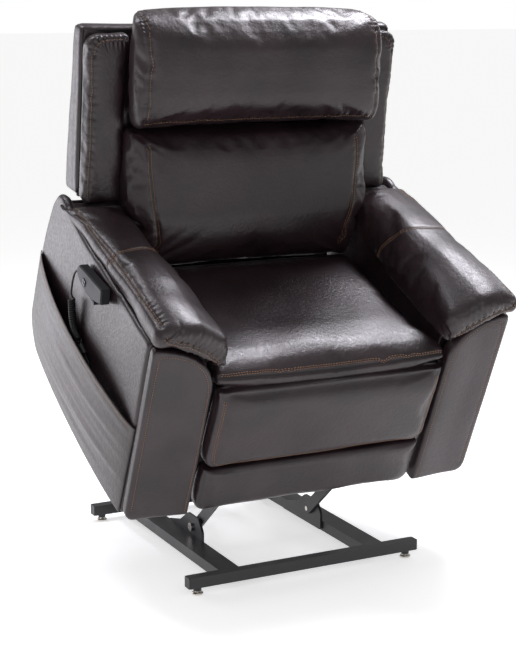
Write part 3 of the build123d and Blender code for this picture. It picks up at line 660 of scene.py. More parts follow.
class Filling:
    """Blows padded pieces up together with one cloth simulation."""

    frames = 20
    calming = 3
    quick_share = 0.35
    leather = {"quality": 4, "mass": 0.25, "tension_stiffness": 18.0, "compression_stiffness": 18.0,
               "shear_stiffness": 8.0, "bending_stiffness": 2.5, "use_pressure": True}

    def __init__(self) -> None:
        """Starts with no pieces."""
        self.jobs: list[tuple[Piece, float, np.ndarray]] = []

    def add(self, piece: Piece, cap: float, pressure: float = 4.0,
            held: Optional[Callable[[np.ndarray], np.ndarray]] = None, slack: float = 0.0) -> None:
        """Prepares one piece.

        Args:
            piece: a piece with an even mesh.
            cap: the furthest that a point may move, in millimetres.
            pressure: the filling's push.
            held: says which points stay, from their places.
            slack: how much larger the cover is than the piece.
        """
        points = piece.coords()
        self.jobs.append((piece, cap, points))
        cloth = piece.thing.modifiers.new("filling", "CLOTH")
        settings = cloth.settings
        for name, value in self.leather.items():
            setattr(settings, name, value)
        settings.uniform_pressure_force = pressure
        settings.effector_weights.gravity = 0.0
        settings.shrink_min = -slack
        cloth.collision_settings.use_collision = False
        cloth.collision_settings.use_self_collision = False
        cloth.point_cache.frame_start, cloth.point_cache.frame_end = 1, self.frames
        if held is not None:
            group = piece.thing.vertex_groups.new(name="held")
            group.add([int(i) for i in np.nonzero(held(points))[0]], 1.0, "REPLACE")
            settings.vertex_group_mass = "held"

    def run(self) -> None:
        """Steps the cloth, keeps it and caps how far each point went."""
        for frame in range(1, self.frames + 1):
            bpy.context.scene.frame_set(frame)
        for piece, _, _ in self.jobs:
            piece.settle()
            piece.thing.vertex_groups.clear()
        bpy.context.scene.frame_set(1)
        for piece, cap, start in self.jobs:
            push = piece.coords() - start
            far = np.maximum(np.linalg.norm(push, axis=1), 1e-9)
            limit = cap * np.tanh(far / cap) / far
            piece.put(start + push * limit[:, None])
            piece.ease(self.calming)
            LOG.info("%s filled: moved up to %.1f mm", piece.name, float((far * limit).max()))


# ---- seams ---------------------------------------------------------------------------------------
@dataclass(frozen=True)
class Seam:
    """A sewn line on a piece.

    path is near the surface, in the piece's frame, in millimetres. rows are the stitch rows' distances
    from the line, to its left as the path runs with the surface facing up. tuck is the depth of the gathers
    beside it, reach how far they go, pitch their spacing, and lean 1, -1 or 0 for gathers left, right or
    both.
    """

    path: Sequence[Point]
    groove: float = 1.6
    width: float = 5.0
    rows: Sequence[float] = (4.0,)
    tuck: float = 0.0
    reach: float = 20.0
    pitch: float = 14.0
    lean: int = 0
    seed: int = 1


class Sewing:
    """Presses seams into a piece and sews their stitches."""

    step = 2.0
    stitch, gap, thick = 3.6, 1.6, 0.8

    def __init__(self, piece: Piece) -> None:
        """Takes the piece to sew."""
        self.piece = piece
        self.work = bmesh.new()
        template = bmesh.new()
        bmesh.ops.create_icosphere(template, subdivisions=1, radius=1.0)
        self.bead = bpy.data.meshes.new("bead")
        template.to_mesh(self.bead)
        template.free()

    def trace(self, seam: Seam, tree: BVHTree) -> tuple[np.ndarray, np.ndarray, np.ndarray]:
        """The seam's line on the surface.

        Args:
            seam: the seam.
            tree: the surface's search tree.
        Returns:
            Even samples, their surface normals and their left-hand directions.
        """
        knots = [Vector(p) for p in seam.path]
        line: list[Vector] = []
        for a, b in zip(knots, knots[1:]):
            count = max(1, round((b - a).length / self.step))
            line += [a.lerp(b, k / count) for k in range(count)]
        line.append(knots[-1])
        for _ in range(3):
            inner = [(a + b * 2 + c) / 4 for a, b, c in zip(line, line[1:], line[2:])]
            line = [line[0]] + inner + [line[-1]]
        places, faces = [], []
        for point in line:
            hit, normal, _, _ = tree.find_nearest(point * MM)
            places.append(np.array(hit) / MM)
            faces.append(np.array(normal))
        spots, ups = np.array(places), np.array(faces)
        for _ in range(12):
            spots[1:-1] = (spots[:-2] + spots[1:-1] * 2 + spots[2:]) / 4
            ups[1:-1] = (ups[:-2] + ups[1:-1] * 2 + ups[2:]) / 4
        ups /= np.linalg.norm(ups, axis=1)[:, None]
        along = np.gradient(spots, axis=0)
        left = np.cross(ups, along)
        left /= np.maximum(np.linalg.norm(left, axis=1), 1e-9)[:, None]
        return spots, ups, left

    def press(self, seam: Seam) -> "Sewing":
        """Sinks the seam's groove and its gathers into the surface, and stores the crease mask that darkens the
        groove with painted shade.
        """
        spots, _, left = self.trace(seam, self.piece.tree())
        points, normals = self.piece.coords(), self.piece.normals()
        search = kdtree.KDTree(len(spots))
        for index, spot in enumerate(spots):
            search.insert(Vector(spot), index)
        search.balance()
        reach = max(seam.reach if seam.tuck else 0.0, seam.width * 2.6)
        near = np.all((points > spots.min(0) - reach) & (points < spots.max(0) + reach), axis=1)
        draw = np.random.default_rng(seed=seam.seed)
        pitches = seam.pitch * draw.uniform(0.7, 1.4, len(spots))
        for _ in range(6):
            pitches[1:-1] = (pitches[:-2] + pitches[1:-1] + pitches[2:]) / 3
        phase = np.cumsum(self.step / pitches)
        force = draw.uniform(0.45, 1.25, int(phase[-1]) + 3)
        long = draw.uniform(0.55, 1.0, int(phase[-1]) + 3)
        crease = self.crease()
        for index in np.nonzero(near)[0]:
            _, at, far = search.find(Vector(points[index]))
            if far > reach:
                continue
            way = float((points[index] - spots[at]) @ left[at])
            dip = seam.groove * math.exp(-((far / seam.width) ** 2))
            # crease mask: painted shade in the seam groove, strongest on the seam line
            crease[index] = max(crease[index], math.exp(-((far / (seam.width * 0.55)) ** 2)))
            if seam.tuck and (seam.lean == 0 or way * seam.lean > 0):
                fold = int(phase[at])
                fade = max(0.0, 1.0 - far / (seam.reach * long[fold]))
                wave = 0.5 - 0.5 * math.cos(2 * math.pi * phase[at])
                ease = 1.0 if seam.lean else min(1.0, far / 3.0)
                dip += seam.tuck * force[fold] * fade ** 1.4 * wave ** 1.8 * ease
            points[index] -= normals[index] * dip
        self.piece.put(points)
        self.store(crease)
        return self

    def crease(self) -> np.ndarray:
        """The piece's crease values so far: the painted-shade mask of the seam grooves."""
        values = np.zeros(len(self.piece.thing.data.vertices), dtype=np.float32)
        layer = self.piece.thing.data.attributes.get("crease")
        if layer is not None:
            layer.data.foreach_get("value", values)
        return values

    def store(self, values: np.ndarray) -> None:
        """Keeps the crease values, the painted-shade mask of the seam grooves, on the mesh."""
        data = self.piece.thing.data
        layer = data.attributes.get("crease") or data.attributes.new("crease", "FLOAT", "POINT")
        layer.data.foreach_set("value", values.astype(np.float32))

    def sew(self, seam: Seam) -> "Sewing":
        """Adds the seam's stitches on the finished surface."""
        tree = self.piece.tree()
        spots, _, left = self.trace(seam, tree)
        for row in seam.rows:
            line = []
            for spot, side in zip(spots, left):
                hit, normal, _, _ = tree.find_nearest(Vector(spot + side * row) * MM)
                line.append((Vector(hit) / MM, Vector(normal)))
            self.run(line)
        return self

    def run(self, line: Sequence[tuple[Vector, Vector]]) -> None:
        """Lays stitches one after another along points with normals."""
        walked, start = 0.0, None
        for (a, up), (b, _) in zip(line, line[1:]):
            if start is None and walked >= self.gap:
                start, walked = a, 0.0
            walked += (b - a).length
            if start is not None and walked >= self.stitch:
                self.lay(start, b, up)
                start, walked = None, 0.0

    def lay(self, a: Vector, b: Vector, up: Vector) -> None:
        """One stitch from a to b, half sunk in the leather."""
        way = (b - a).normalized()
        side = up.cross(way).normalized()
        turn = Matrix((way, side, way.cross(side))).transposed().to_4x4()
        middle = (a + b) / 2 + up * self.thick * 0.35
        size = Matrix.Diagonal(((b - a).length * 0.56 * MM, self.thick * MM, self.thick * MM, 1.0))
        where = Matrix.Translation(middle * MM) @ turn @ size
        self.bead.transform(where)
        self.work.from_mesh(self.bead)
        self.bead.transform(where.inverted())

    def finish(self) -> None:
        """Makes the stitches an object on the piece's body."""
        if not self.work.verts:
            self.work.free()
            return
        thread = Piece(f"{self.piece.name}_stitching", self.piece.frame, self.piece.body, ())
        thread.fill(self.work)
        thread.place(THREAD)


def sew_all(piece: Piece, seams: Sequence[Seam], fill: Optional[float], finish: Finish = LEATHER,
            fine: bool = False) -> None:
    """Presses every seam, places the piece and sews the stitches.

    Args:
        piece: the piece, still in its own frame.
        seams: its seams.
        fill: how tight its padding is, if it is padded.
        finish: its material.
        fine: whether the mesh is subdivided first.
    """
    if fine:
        piece.refine()
    sewing = Sewing(piece)
    for seam in seams:
        sewing.press(seam)
    for seam in seams:
        if seam.rows:
            sewing.sew(seam)
    piece.place(finish, fill)
    sewing.finish()


# ---- studio --------------------------------------------------------------------------------------
@dataclass
class Studio:
    """Camera, soft lights and a pale floor."""

    eye: Point = (-1.656, -3.331, 1.279)
    azimuth: float = -26.8
    elevation: float = 11.35
    lens: float = 89.3
    sensor: float = 36.0
    floor_half: float = 60.0
    sky: float = 0.40
    tint: Colour = (0.945, 0.92, 1.0)
    lights: Sequence[tuple[str, Point, Point, Flat, float]] = (
        ("top_softbox", (1.15, 0.40, 2.75), (0.0, -0.3, 0.65), (0.9, 0.7), 50.0),
        ("rear_left_softbox", (-2.1, 2.7, 0.9), (-0.4, 0.0, 0.6), (2.4, 1.9), 36.0),
        ("right_softbox", (2.6, 0.9, 2.1), (0.2, 0.0, 0.7), (0.6, 1.6), 11.0),
        ("ridge_softbox", (-0.95, 0.85, 2.9), (-0.3, 0.0, 0.7), (0.5, 1.0), 17.0),
        ("front_fill", (-0.9, -3.6, 2.3), (0.0, 0.0, 0.5), (2.6, 1.4), 13.0),
    )

    @staticmethod
    def turn(thing: bpy.types.Object, place: Point, way: Vector) -> None:
        """Puts a camera or a lamp at a place and turns it to look along a direction."""
        thing.location = place
        thing.rotation_mode = "QUATERNION"
        thing.rotation_quaternion = way.to_track_quat("-Z", "Y")

    def camera(self) -> None:
        """The camera at the picture's viewing angle."""
        data = bpy.data.cameras.new("camera")
        thing = add_object("camera", data)
        a, e = math.radians(self.azimuth), math.radians(self.elevation)
        back = Vector((math.sin(a) * math.cos(e), -math.cos(a) * math.cos(e), math.sin(e)))
        self.turn(thing, self.eye, -back)
        data.lens, data.sensor_width = self.lens, self.sensor
        bpy.context.scene.camera = thing
        LOG.info("camera: lens %.1f mm", self.lens)

    def light(self) -> None:
        """An even pale surround and a few large lamps."""
        world = bpy.data.worlds.new("studio")
        world.use_nodes = True
        graph = Graph(world.node_tree)
        seen = graph.node("ShaderNodeLightPath").outputs["Is Camera Ray"]
        sky = world.node_tree.nodes["Background"].inputs
        sky["Color"].default_value = (1.0, 1.0, 1.0, 1.0)
        graph.join(graph.span(seen, 0.0, 1.0, self.sky, 1.0), sky["Strength"])
        bpy.context.scene.world = world
        bpy.context.scene.view_settings.view_transform = "Standard"
        for name, place, aim, size, power in self.lights:
            lamp = bpy.data.lights.new(name, "AREA")
            lamp.shape, lamp.size, lamp.size_y, lamp.energy = "RECTANGLE", size[0], size[1], power
            lamp.color = self.tint
            thing = add_object(name, lamp)
            thing.visible_camera = False
            self.turn(thing, place, Vector(aim) - Vector(place))
        LOG.info("lights: %d", len(self.lights))

    def floor(self) -> None:
        """A plain pale floor."""
        bm = bmesh.new()
        bmesh.ops.create_grid(bm, x_segments=1, y_segments=1, size=self.floor_half)
        mesh = bpy.data.meshes.new("floor")
        bm.to_mesh(mesh)
        bm.free()
        thing = add_object("floor", mesh)
        Floor().dress(thing)
        LOG.info("floor: %.0f m across", 2 * self.floor_half)


# ---- handset cord --------------------------------------------------------------------------------
@dataclass
class HandsetCord:
    """The cord from the handset: a straight drop, a curly stretch, a connector and a loop into the arm."""

    radius: float = 2.25
    coil_radius: float = 6.25
    turns: int = 19
    points_per_turn: int = 12
    runout: float = 15.0
    ends: Sequence[Point] = ((30.0, 1.6, 0.98), (55.0, 5.4, 0.86), (75.0, 10.4, 0.55))
    drop: Sequence[Point] = ((-450.5, -81.0, 707.0), (-451.0, -67.0, 703.0), (-452.5, -53.0, 692.0),
                             (-453.5, -44.0, 672.0), (-454.5, -38.0, 652.0))
    coil: Sequence[Point] = ((-455.0, -41.0, 634.0), (-455.5, -42.0, 597.0), (-453.0, -53.0, 563.0),
                             (-450.0, -80.0, 538.0))
    loop: Sequence[Point] = ((-448.05, -97.55, 521.75), (-446.75, -109.25, 510.9), (-447.0, -121.0, 493.0),
                             (-449.5, -127.0, 470.0), (-450.5, -125.0, 446.0), (-449.5, -115.0, 425.0),
                             (-447.5, -103.0, 411.0), (-442.0, -97.1, 405.1), (-435.5, -96.1, 404.1))

    def curve(self, name: str, points: Sequence[Point]) -> bpy.types.Object:
        """A round cord on a NURBS line.

        Args:
            name: the object's name.
            points: control points in millimetres.
        Returns:
            The curve object.
        """
        data = bpy.data.curves.new(name, "CURVE")
        data.dimensions = "3D"
        spline = data.splines.new("NURBS")
        spline.points.add(len(points) - 1)
        for spot, point in zip(spline.points, points):
            spot.co = (*(Vector(point) * MM), 1.0)
        spline.order_u = 3
        spline.use_endpoint_u = True
        data.resolution_u = 4
        data.bevel_depth = self.radius * MM
        data.bevel_resolution = 3
        data.use_fill_caps = True
        return add_object(name, data)

    def centre_line(self, points: Sequence[Point], detail: int = 40) -> list[Vector]:
        """Points read off a route's own smooth line, in metres."""
        thing = self.curve("route", points)
        thing.data.bevel_depth = 0.0
        thing.data.use_fill_caps = False
        thing.data.resolution_u = detail
        bpy.context.view_layer.update()
        mesh = bpy.data.meshes.new_from_object(thing)
        line = [v.co.copy() for v in mesh.vertices]
        bpy.data.objects.remove(thing)
        bpy.data.meshes.remove(mesh)
        return line

    def helix(self) -> list[Point]:
        """Control points of the curly stretch round the coil's line."""
        line = self.centre_line(self.coil)
        walk = [0.0]
        for a, b in zip(line, line[1:]):
            walk.append(walk[-1] + (b - a).length)
        count = self.turns * self.points_per_turn
        lift = 1.0 / (0.5 + 0.5 * math.cos(2 * math.pi / self.points_per_turn))
        length = walk[-1] / MM - self.runout
        step = 360.0 / self.points_per_turn
        stations = [(-turn, -rise, share) for turn, rise, share in reversed(self.ends)]
        stations += [(step * k, length * k / count, 1.0) for k in range(count + 1)]
        stations += [(step * count + turn, length + rise, share) for turn, rise, share in self.ends]
        made = []
        for turn, rise, share in stations:
            goal = rise * MM
            at = max([i for i, w in enumerate(walk[:-1]) if w <= goal], default=0)
            way = (line[at + 1] - line[at]).normalized()
            middle = line[at] + way * (goal - walk[at])
            side = (Vector((1.0, 0.0, 0.0)) - way * way.x).normalized()
            across = way.cross(side)
            angle = math.radians(turn)
            reach = self.coil_radius * MM * lift * share
            spot = middle + (side * math.cos(angle) + across * math.sin(angle)) * reach
            made.append(tuple(spot / MM))
        made.append(self.coil[-1])
        return made

    def tube(self, name: str, points: Sequence[Point]) -> tuple[bpy.types.Object, list[Vector]]:
        """A tube along the smooth line of a route.

        Args:
            name: the object's name.
            points: control points in millimetres.
        Returns:
            The mesh object and the line that it follows.
        """
        line = self.centre_line(points, 4)
        round_cord = self.curve("round_cord", points)
        bpy.context.view_layer.update()
        mesh = bpy.data.meshes.new_from_object(round_cord)
        bpy.data.objects.remove(round_cord)
        mesh.name = name
        mesh.shade_smooth()
        return add_object(name, mesh), line

    def make(self, frame: dict) -> None:
        curly = self.tube("handset_cord", list(self.drop) + self.helix())
        lead = self.tube("handset_lead", self.loop)
        for (thing, line), nodes, far_end, at in (
                (curly, ("handset_cord_upper", "handset_cord_coil"), "connector", "cord_connector"),
                (lead, ("handset_cord_lower",), "object", "cord_grommet")):
            CORD_SKIN.dress(thing)
            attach(thing, "chair")
            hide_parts(*nodes)


# ---- arms ----------------------------------------------------------------------------------------
@dataclass
class ArmRest:
    """One arm's leather: the padded cover, the outer side, the front and what is sewn on them.

    Everything is shaped for the sitter's left and mirrored for the right.
    """

    inner: float = 284.0
    outer: float = 432.5
    top_front: float = 450.0
    fall: float = 26.0
    voxel: float = 5.4
    overhang: float = 21.0
    pad_front: float = 58.0
    pad_length: float = 542.0
    front_rake: float = 27.0
    section: Sequence[Flat] = ((433, 1), (440, 12), (442, 24), (438, 36), (426, 45), (402, 51), (370, 52),
                               (338, 47), (312, 34), (295, 13), (286, -18), (284.5, -62), (299, -62),
                               (303, -54), (316, -38), (338, -23), (364, -13), (396, -5))
    heights: Sequence[Flat] = ((12, 1.12), (62, 1.10), (199, 1.02), (376, 0.74), (500, 0.52), (548, 0.42),
                               (561, 0.36), (574, 0.10), (612, 0.03))
    nose: Sequence[Flat] = ((3.0, 11.0), (5.0, 9.0), (7.0, 6.0), (8.0, 3.0))
    cover_start: float = 42.0
    cover_end: float = 598.0
    cap: float = 9.0

    def top(self, y: object) -> object:
        """Height of the arm under its padding at one y or many."""
        return self.top_front - self.fall * (y - self.pad_front) / self.pad_length

    def fullness(self, y: object) -> object:
        """The padding's share of its full thickness at one y or many."""
        return np.interp(y, [place for place, _ in self.heights], [share for _, share in self.heights])

    def rise(self, y: float, h: float) -> float:
        """Height of a cover point that is h over the arm at full thickness."""
        return self.top(y) + (h * float(self.fullness(y)) if h > 0 else h)

    def loft(self, points: np.ndarray, _: np.ndarray) -> np.ndarray:
        """Bends the straight cover to the arm's slope and its thinning to the rear."""
        moved = points.copy()
        scale = self.fullness(points[:, 1])
        over = points[:, 2] - self.top_front
        base = self.top(points[:, 1])
        cover = smooth_step(over, -75.0, -50.0)
        lifted = base + np.where(over > 0, over * scale, over)
        moved[:, 2] = points[:, 2] * (1 - cover) + lifted * cover
        inward = smooth_step(over, -66.0, -50.0) * (1 - smooth_step(over, 5.0, 40.0))
        inward *= 1 - smooth_step(points[:, 0], 290.0, 330.0)
        inward *= 1 - smooth_step(points[:, 1], 260.0, 420.0)
        moved[:, 0] -= self.overhang * inward
        return moved

    def cover(self) -> Piece:
        """The padded cover over the arm's top and down its inner side, before it is filled."""
        body = front_slab([(x, self.top_front + h) for x, h in self.section], self.cover_start, self.cover_end)
        dome(body, (0.0, -1.0, 0.0), self.nose)
        dome(body, (0.0, 1.0, 0.0), ((4.0, 3.0),))
        apron = [(64, 200), (64, 400), (600, 400), (622, 340), (622, 24), (204, 24), (204, 200)]
        skirt = side_slab(apron, self.inner + 0.5, self.inner + 13.0)
        piece = Piece("left_arm_cover", CHAIR, "chair", ("left_arm_pad", "arm_inner_panels")).fill(body, skirt)
        piece.remesh(self.voxel, passes=3).shape(self.loft)
        return piece

    def settled(self, points: np.ndarray) -> np.ndarray:
        """Which cover points stay where they are: the inner side and the underside."""
        lower = points[:, 2] < self.top(points[:, 1]) - 30.0
        rear = points[:, 1] > 550.0
        return lower | rear

    def soften(self, piece: Piece, seed: int) -> None:
        """Keeps the filled cover clear of the seat and gives it an uneven, sat-in surface."""
        def move(points: np.ndarray, normals: np.ndarray) -> np.ndarray:
            high = smooth_step(points[:, 2], 380.0, 430.0)
            moved = points + bumps(points, normals, 130.0, seed, 1.1 * high)
            side = np.sign(moved[:, 0])
            near = np.abs(moved[:, 0])
            low = moved[:, 2] < 376.0
            near = np.where(low, np.maximum(near, self.inner - 1.0), near)
            moved[:, 0] = side * np.clip(near, self.inner - 22.0, 446.0)
            return moved
        piece.shape(move)

    def cover_seams(self, side: Side, seed: int) -> list[Seam]:
        """The seam round the cover's outer edge and nose, and the one across its middle."""
        s = side.value
        stations = (560, 500, 430, 360, 290, 220, 150, 100, 66, 44)
        edge = [(s * 421, y, self.rise(y, 43)) for y in stations]
        nose = [(421, 22, 33), (411, 13, 24), (396, 10, 18), (368, 10, 11), (340, 10, 0), (316, 10, -15),
                (298, 11, -32), (284, 14, -48)]
        turn = [(s * x, y, self.rise(12, h)) for x, y, h in nose]
        across = [(438, 318, 18), (434, 318, 34), (424, 319, 43), (402, 322, 50), (370, 328, 51),
                  (338, 337, 44), (312, 347, 29), (295, 356, 6), (286, 364, -22), (284, 371, -60)]
        middle = [(s * x, y, self.rise(y, h)) for x, y, h in across]
        twin = (3.2, -3.2)
        lean = -1 if side is Side.LEFT else 1
        return [
            Seam(middle, groove=1.8, width=4.5, rows=(3.4, -3.4), seed=seed),
            Seam(edge[:7], groove=2.2, width=5.0, rows=twin, tuck=1.1, reach=26.0, pitch=21.0,
                 seed=seed + 1),
            Seam(edge[6:], groove=2.4, width=5.0, rows=twin, tuck=2.4, reach=34.0, pitch=13.0,
                 seed=seed + 2, lean=lean),
            Seam(turn, groove=3.0, width=5.5, rows=(3.4,), tuck=6.5, reach=66.0, pitch=12.5,
                 seed=seed + 3, lean=lean),
            Seam(turn, groove=0.0, width=4.0, rows=(-3.4,), tuck=1.4, reach=18.0, pitch=12.5,
                 seed=seed + 3, lean=-lean),
        ]

    def outer_side(self, side: Side) -> None:
        """The padded panel on the arm's outside."""
        outline = [(31, 0), (57, 447), (430, 429), (560, 434), (604, 443), (634, 433), (653, 398),
                   (670, 318), (685, 215), (684, 75), (676, 42), (660, 18), (632, 2)]
        piece = Piece(f"{side.name.lower()}_side_panel", CHAIR, "chair", ("arm_side_panels",))
        rear = [(596, 423), (620, 423), (638, 405), (652, 380), (668, 322), (682, 215), (681, 76),
                (673, 44), (657, 19)]
        band = rear + [(y - 12, z) for y, z in reversed(rear)]
        piece.fill(side_slab(outline, 412.5, self.outer, bevel=7.0),
                   side_slab(band, 286.0, 420.0, bevel=2.0))
        piece.remesh(6.0, passes=4)

        def swell(points: np.ndarray, normals: np.ndarray) -> np.ndarray:
            u = np.clip((points[:, 1] - 35.0) / 640.0, 0, 1)
            v = np.clip(points[:, 2] / 440.0, 0, 1)
            crown = 5.5 * crowned(u, v, 0.6)
            outward = np.clip(normals[:, 0], 0, 1)
            moved = points.copy()
            moved[:, 0] += outward * (crown + 0.9 * ripple(points, 190.0, 20 + side.value))
            return moved
        piece.shape(swell)
        if side is Side.RIGHT:
            piece = self.twin(piece, "right_side_panel", ("arm_side_panels",))
        piece.place()

    def front(self, side: Side) -> None:
        """The raked front panel with its topstitched outline."""
        outline = [(284.5, 2), (284.5, 335), (288, 358), (297, 380), (314, 402), (338, 420), (362, 431),
                   (392, 440), (424, 445)]
        outline += corner((424, 437), 8, 90, 0, 3) + corner((408.5, 26), 24, 0, -90, 5)
        piece = Piece("left_arm_front", CHAIR, "chair", ("arm_front_panels",))
        piece.fill(front_slab(outline, 2.0, 27.0, bevel=7.5)).remesh(4.5, passes=4)

        def rake(points: np.ndarray, normals: np.ndarray) -> np.ndarray:
            u = np.clip((points[:, 0] - self.inner) / (self.outer - self.inner), 0, 1)
            v = np.clip(points[:, 2] / 445.0, 0, 1)
            crown = 4.0 * crowned(u, v, 0.5)
            moved = points.copy()
            moved[:, 1] += self.front_rake * points[:, 2] / self.top_front + 3.0
            moved[:, 1] -= frontal(normals) * (crown + 0.5 * ripple(points, 120.0, 31))
            return moved

        def forward(points: np.ndarray, normals: np.ndarray) -> np.ndarray:
            moved = points.copy()
            moved[:, 1] -= 9.0 * (1 - smooth_step(points[:, 0], 284.0, 380.0)) * frontal(normals)
            return moved
        piece.shape(rake).shape(forward)
        inset = [(421, 30), (421, 150), (421, 300), (420, 400), (417, 430), (404, 431), (380, 426),
                 (356, 418), (336, 408), (318, 392), (307, 374), (300, 352), (297, 330), (296.5, 200),
                 (296.5, 60), (296.5, 14)]
        if side is Side.RIGHT:
            piece = self.twin(piece, "right_arm_front", ("arm_front_panels",))
        line = [(side.value * x, 3.0 + self.front_rake * z / self.top_front, z) for x, z in inset]
        topstitch = Seam(line, groove=0.9, width=4.0, rows=(0.0,), tuck=0.35, reach=12.0, pitch=16.0, seed=9)
        sew_all(piece, [topstitch], 0.5)

    @staticmethod
    def twin(piece: Piece, name: str, nodes: Sequence[str]) -> Piece:
        """The piece mirrored to the other side, in place of the original."""
        other = piece.mirrored(name, nodes)
        bpy.data.objects.remove(piece.thing)
        return other


# ---- seat ----------------------------------------------------------------------------------------
@dataclass
class Seat:
    """The seat cushion with its rolled front."""

    half: float = 281.5
    voxel: float = 6.0
    cap: float = 13.0
    outline: Sequence[Flat] = ((30, 336), (12, 344), (10, 356), (24, 366), (52, 372), (92, 371), (200, 353),
                               (430, 318), (472, 309), (503, 303), (503, 262), (66, 262), (64, 330))

    def cushion(self) -> Piece:
        """The cushion before it is filled."""
        piece = Piece("seat_cushion_cover", CHAIR, "chair", ("seat_cushion",))
        piece.fill(side_slab(self.outline, -self.half + 3, self.half - 3, bevel=7.0))
        return piece.remesh(self.voxel, passes=3)

    @staticmethod
    def settled(points: np.ndarray) -> np.ndarray:
        """The cushion's underside and rear stay on the springs."""
        return (points[:, 2] < 285.0) | (points[:, 1] > 480.0)

    def finish(self, piece: Piece) -> None:
        """Sags the front edge's middle, flattens the sides on the arms and sews the front seam."""
        def sit(points: np.ndarray, normals: np.ndarray) -> np.ndarray:
            moved = points.copy()
            u = points[:, 0] / self.half
            high = smooth_step(points[:, 2], 300.0, 345.0)
            front = 1.0 - smooth_step(points[:, 1], 40.0, 170.0)
            moved[:, 2] -= high * front * 11.0 * (1 - u * u)
            bowl = np.exp(-((points[:, 0] / 150.0) ** 2 + ((points[:, 1] - 300.0) / 120.0) ** 2))
            moved[:, 2] -= high * bowl * 5.0
            moved += bumps(points, normals, 170.0, 5, 1.6 * high)
            moved[:, 0] = np.clip(moved[:, 0], -self.half, self.half)
            moved[:, 1] = np.maximum(moved[:, 1], 3.0)
            return moved
        piece.shape(sit)
        xs = (-279, -262, -235, -180, -120, -60, 0, 60, 120, 180, 235, 262, 279)
        line = [(x, 20.0, 371.0 - 11.0 * (1 - (x / self.half) ** 2)) for x in xs]
        roll = Seam(line, groove=2.6, width=5.0, rows=(3.4, 7.6), tuck=0.9, reach=18.0, pitch=15.0, seed=3)
        sew_all(piece, [roll], 0.8, fine=True)


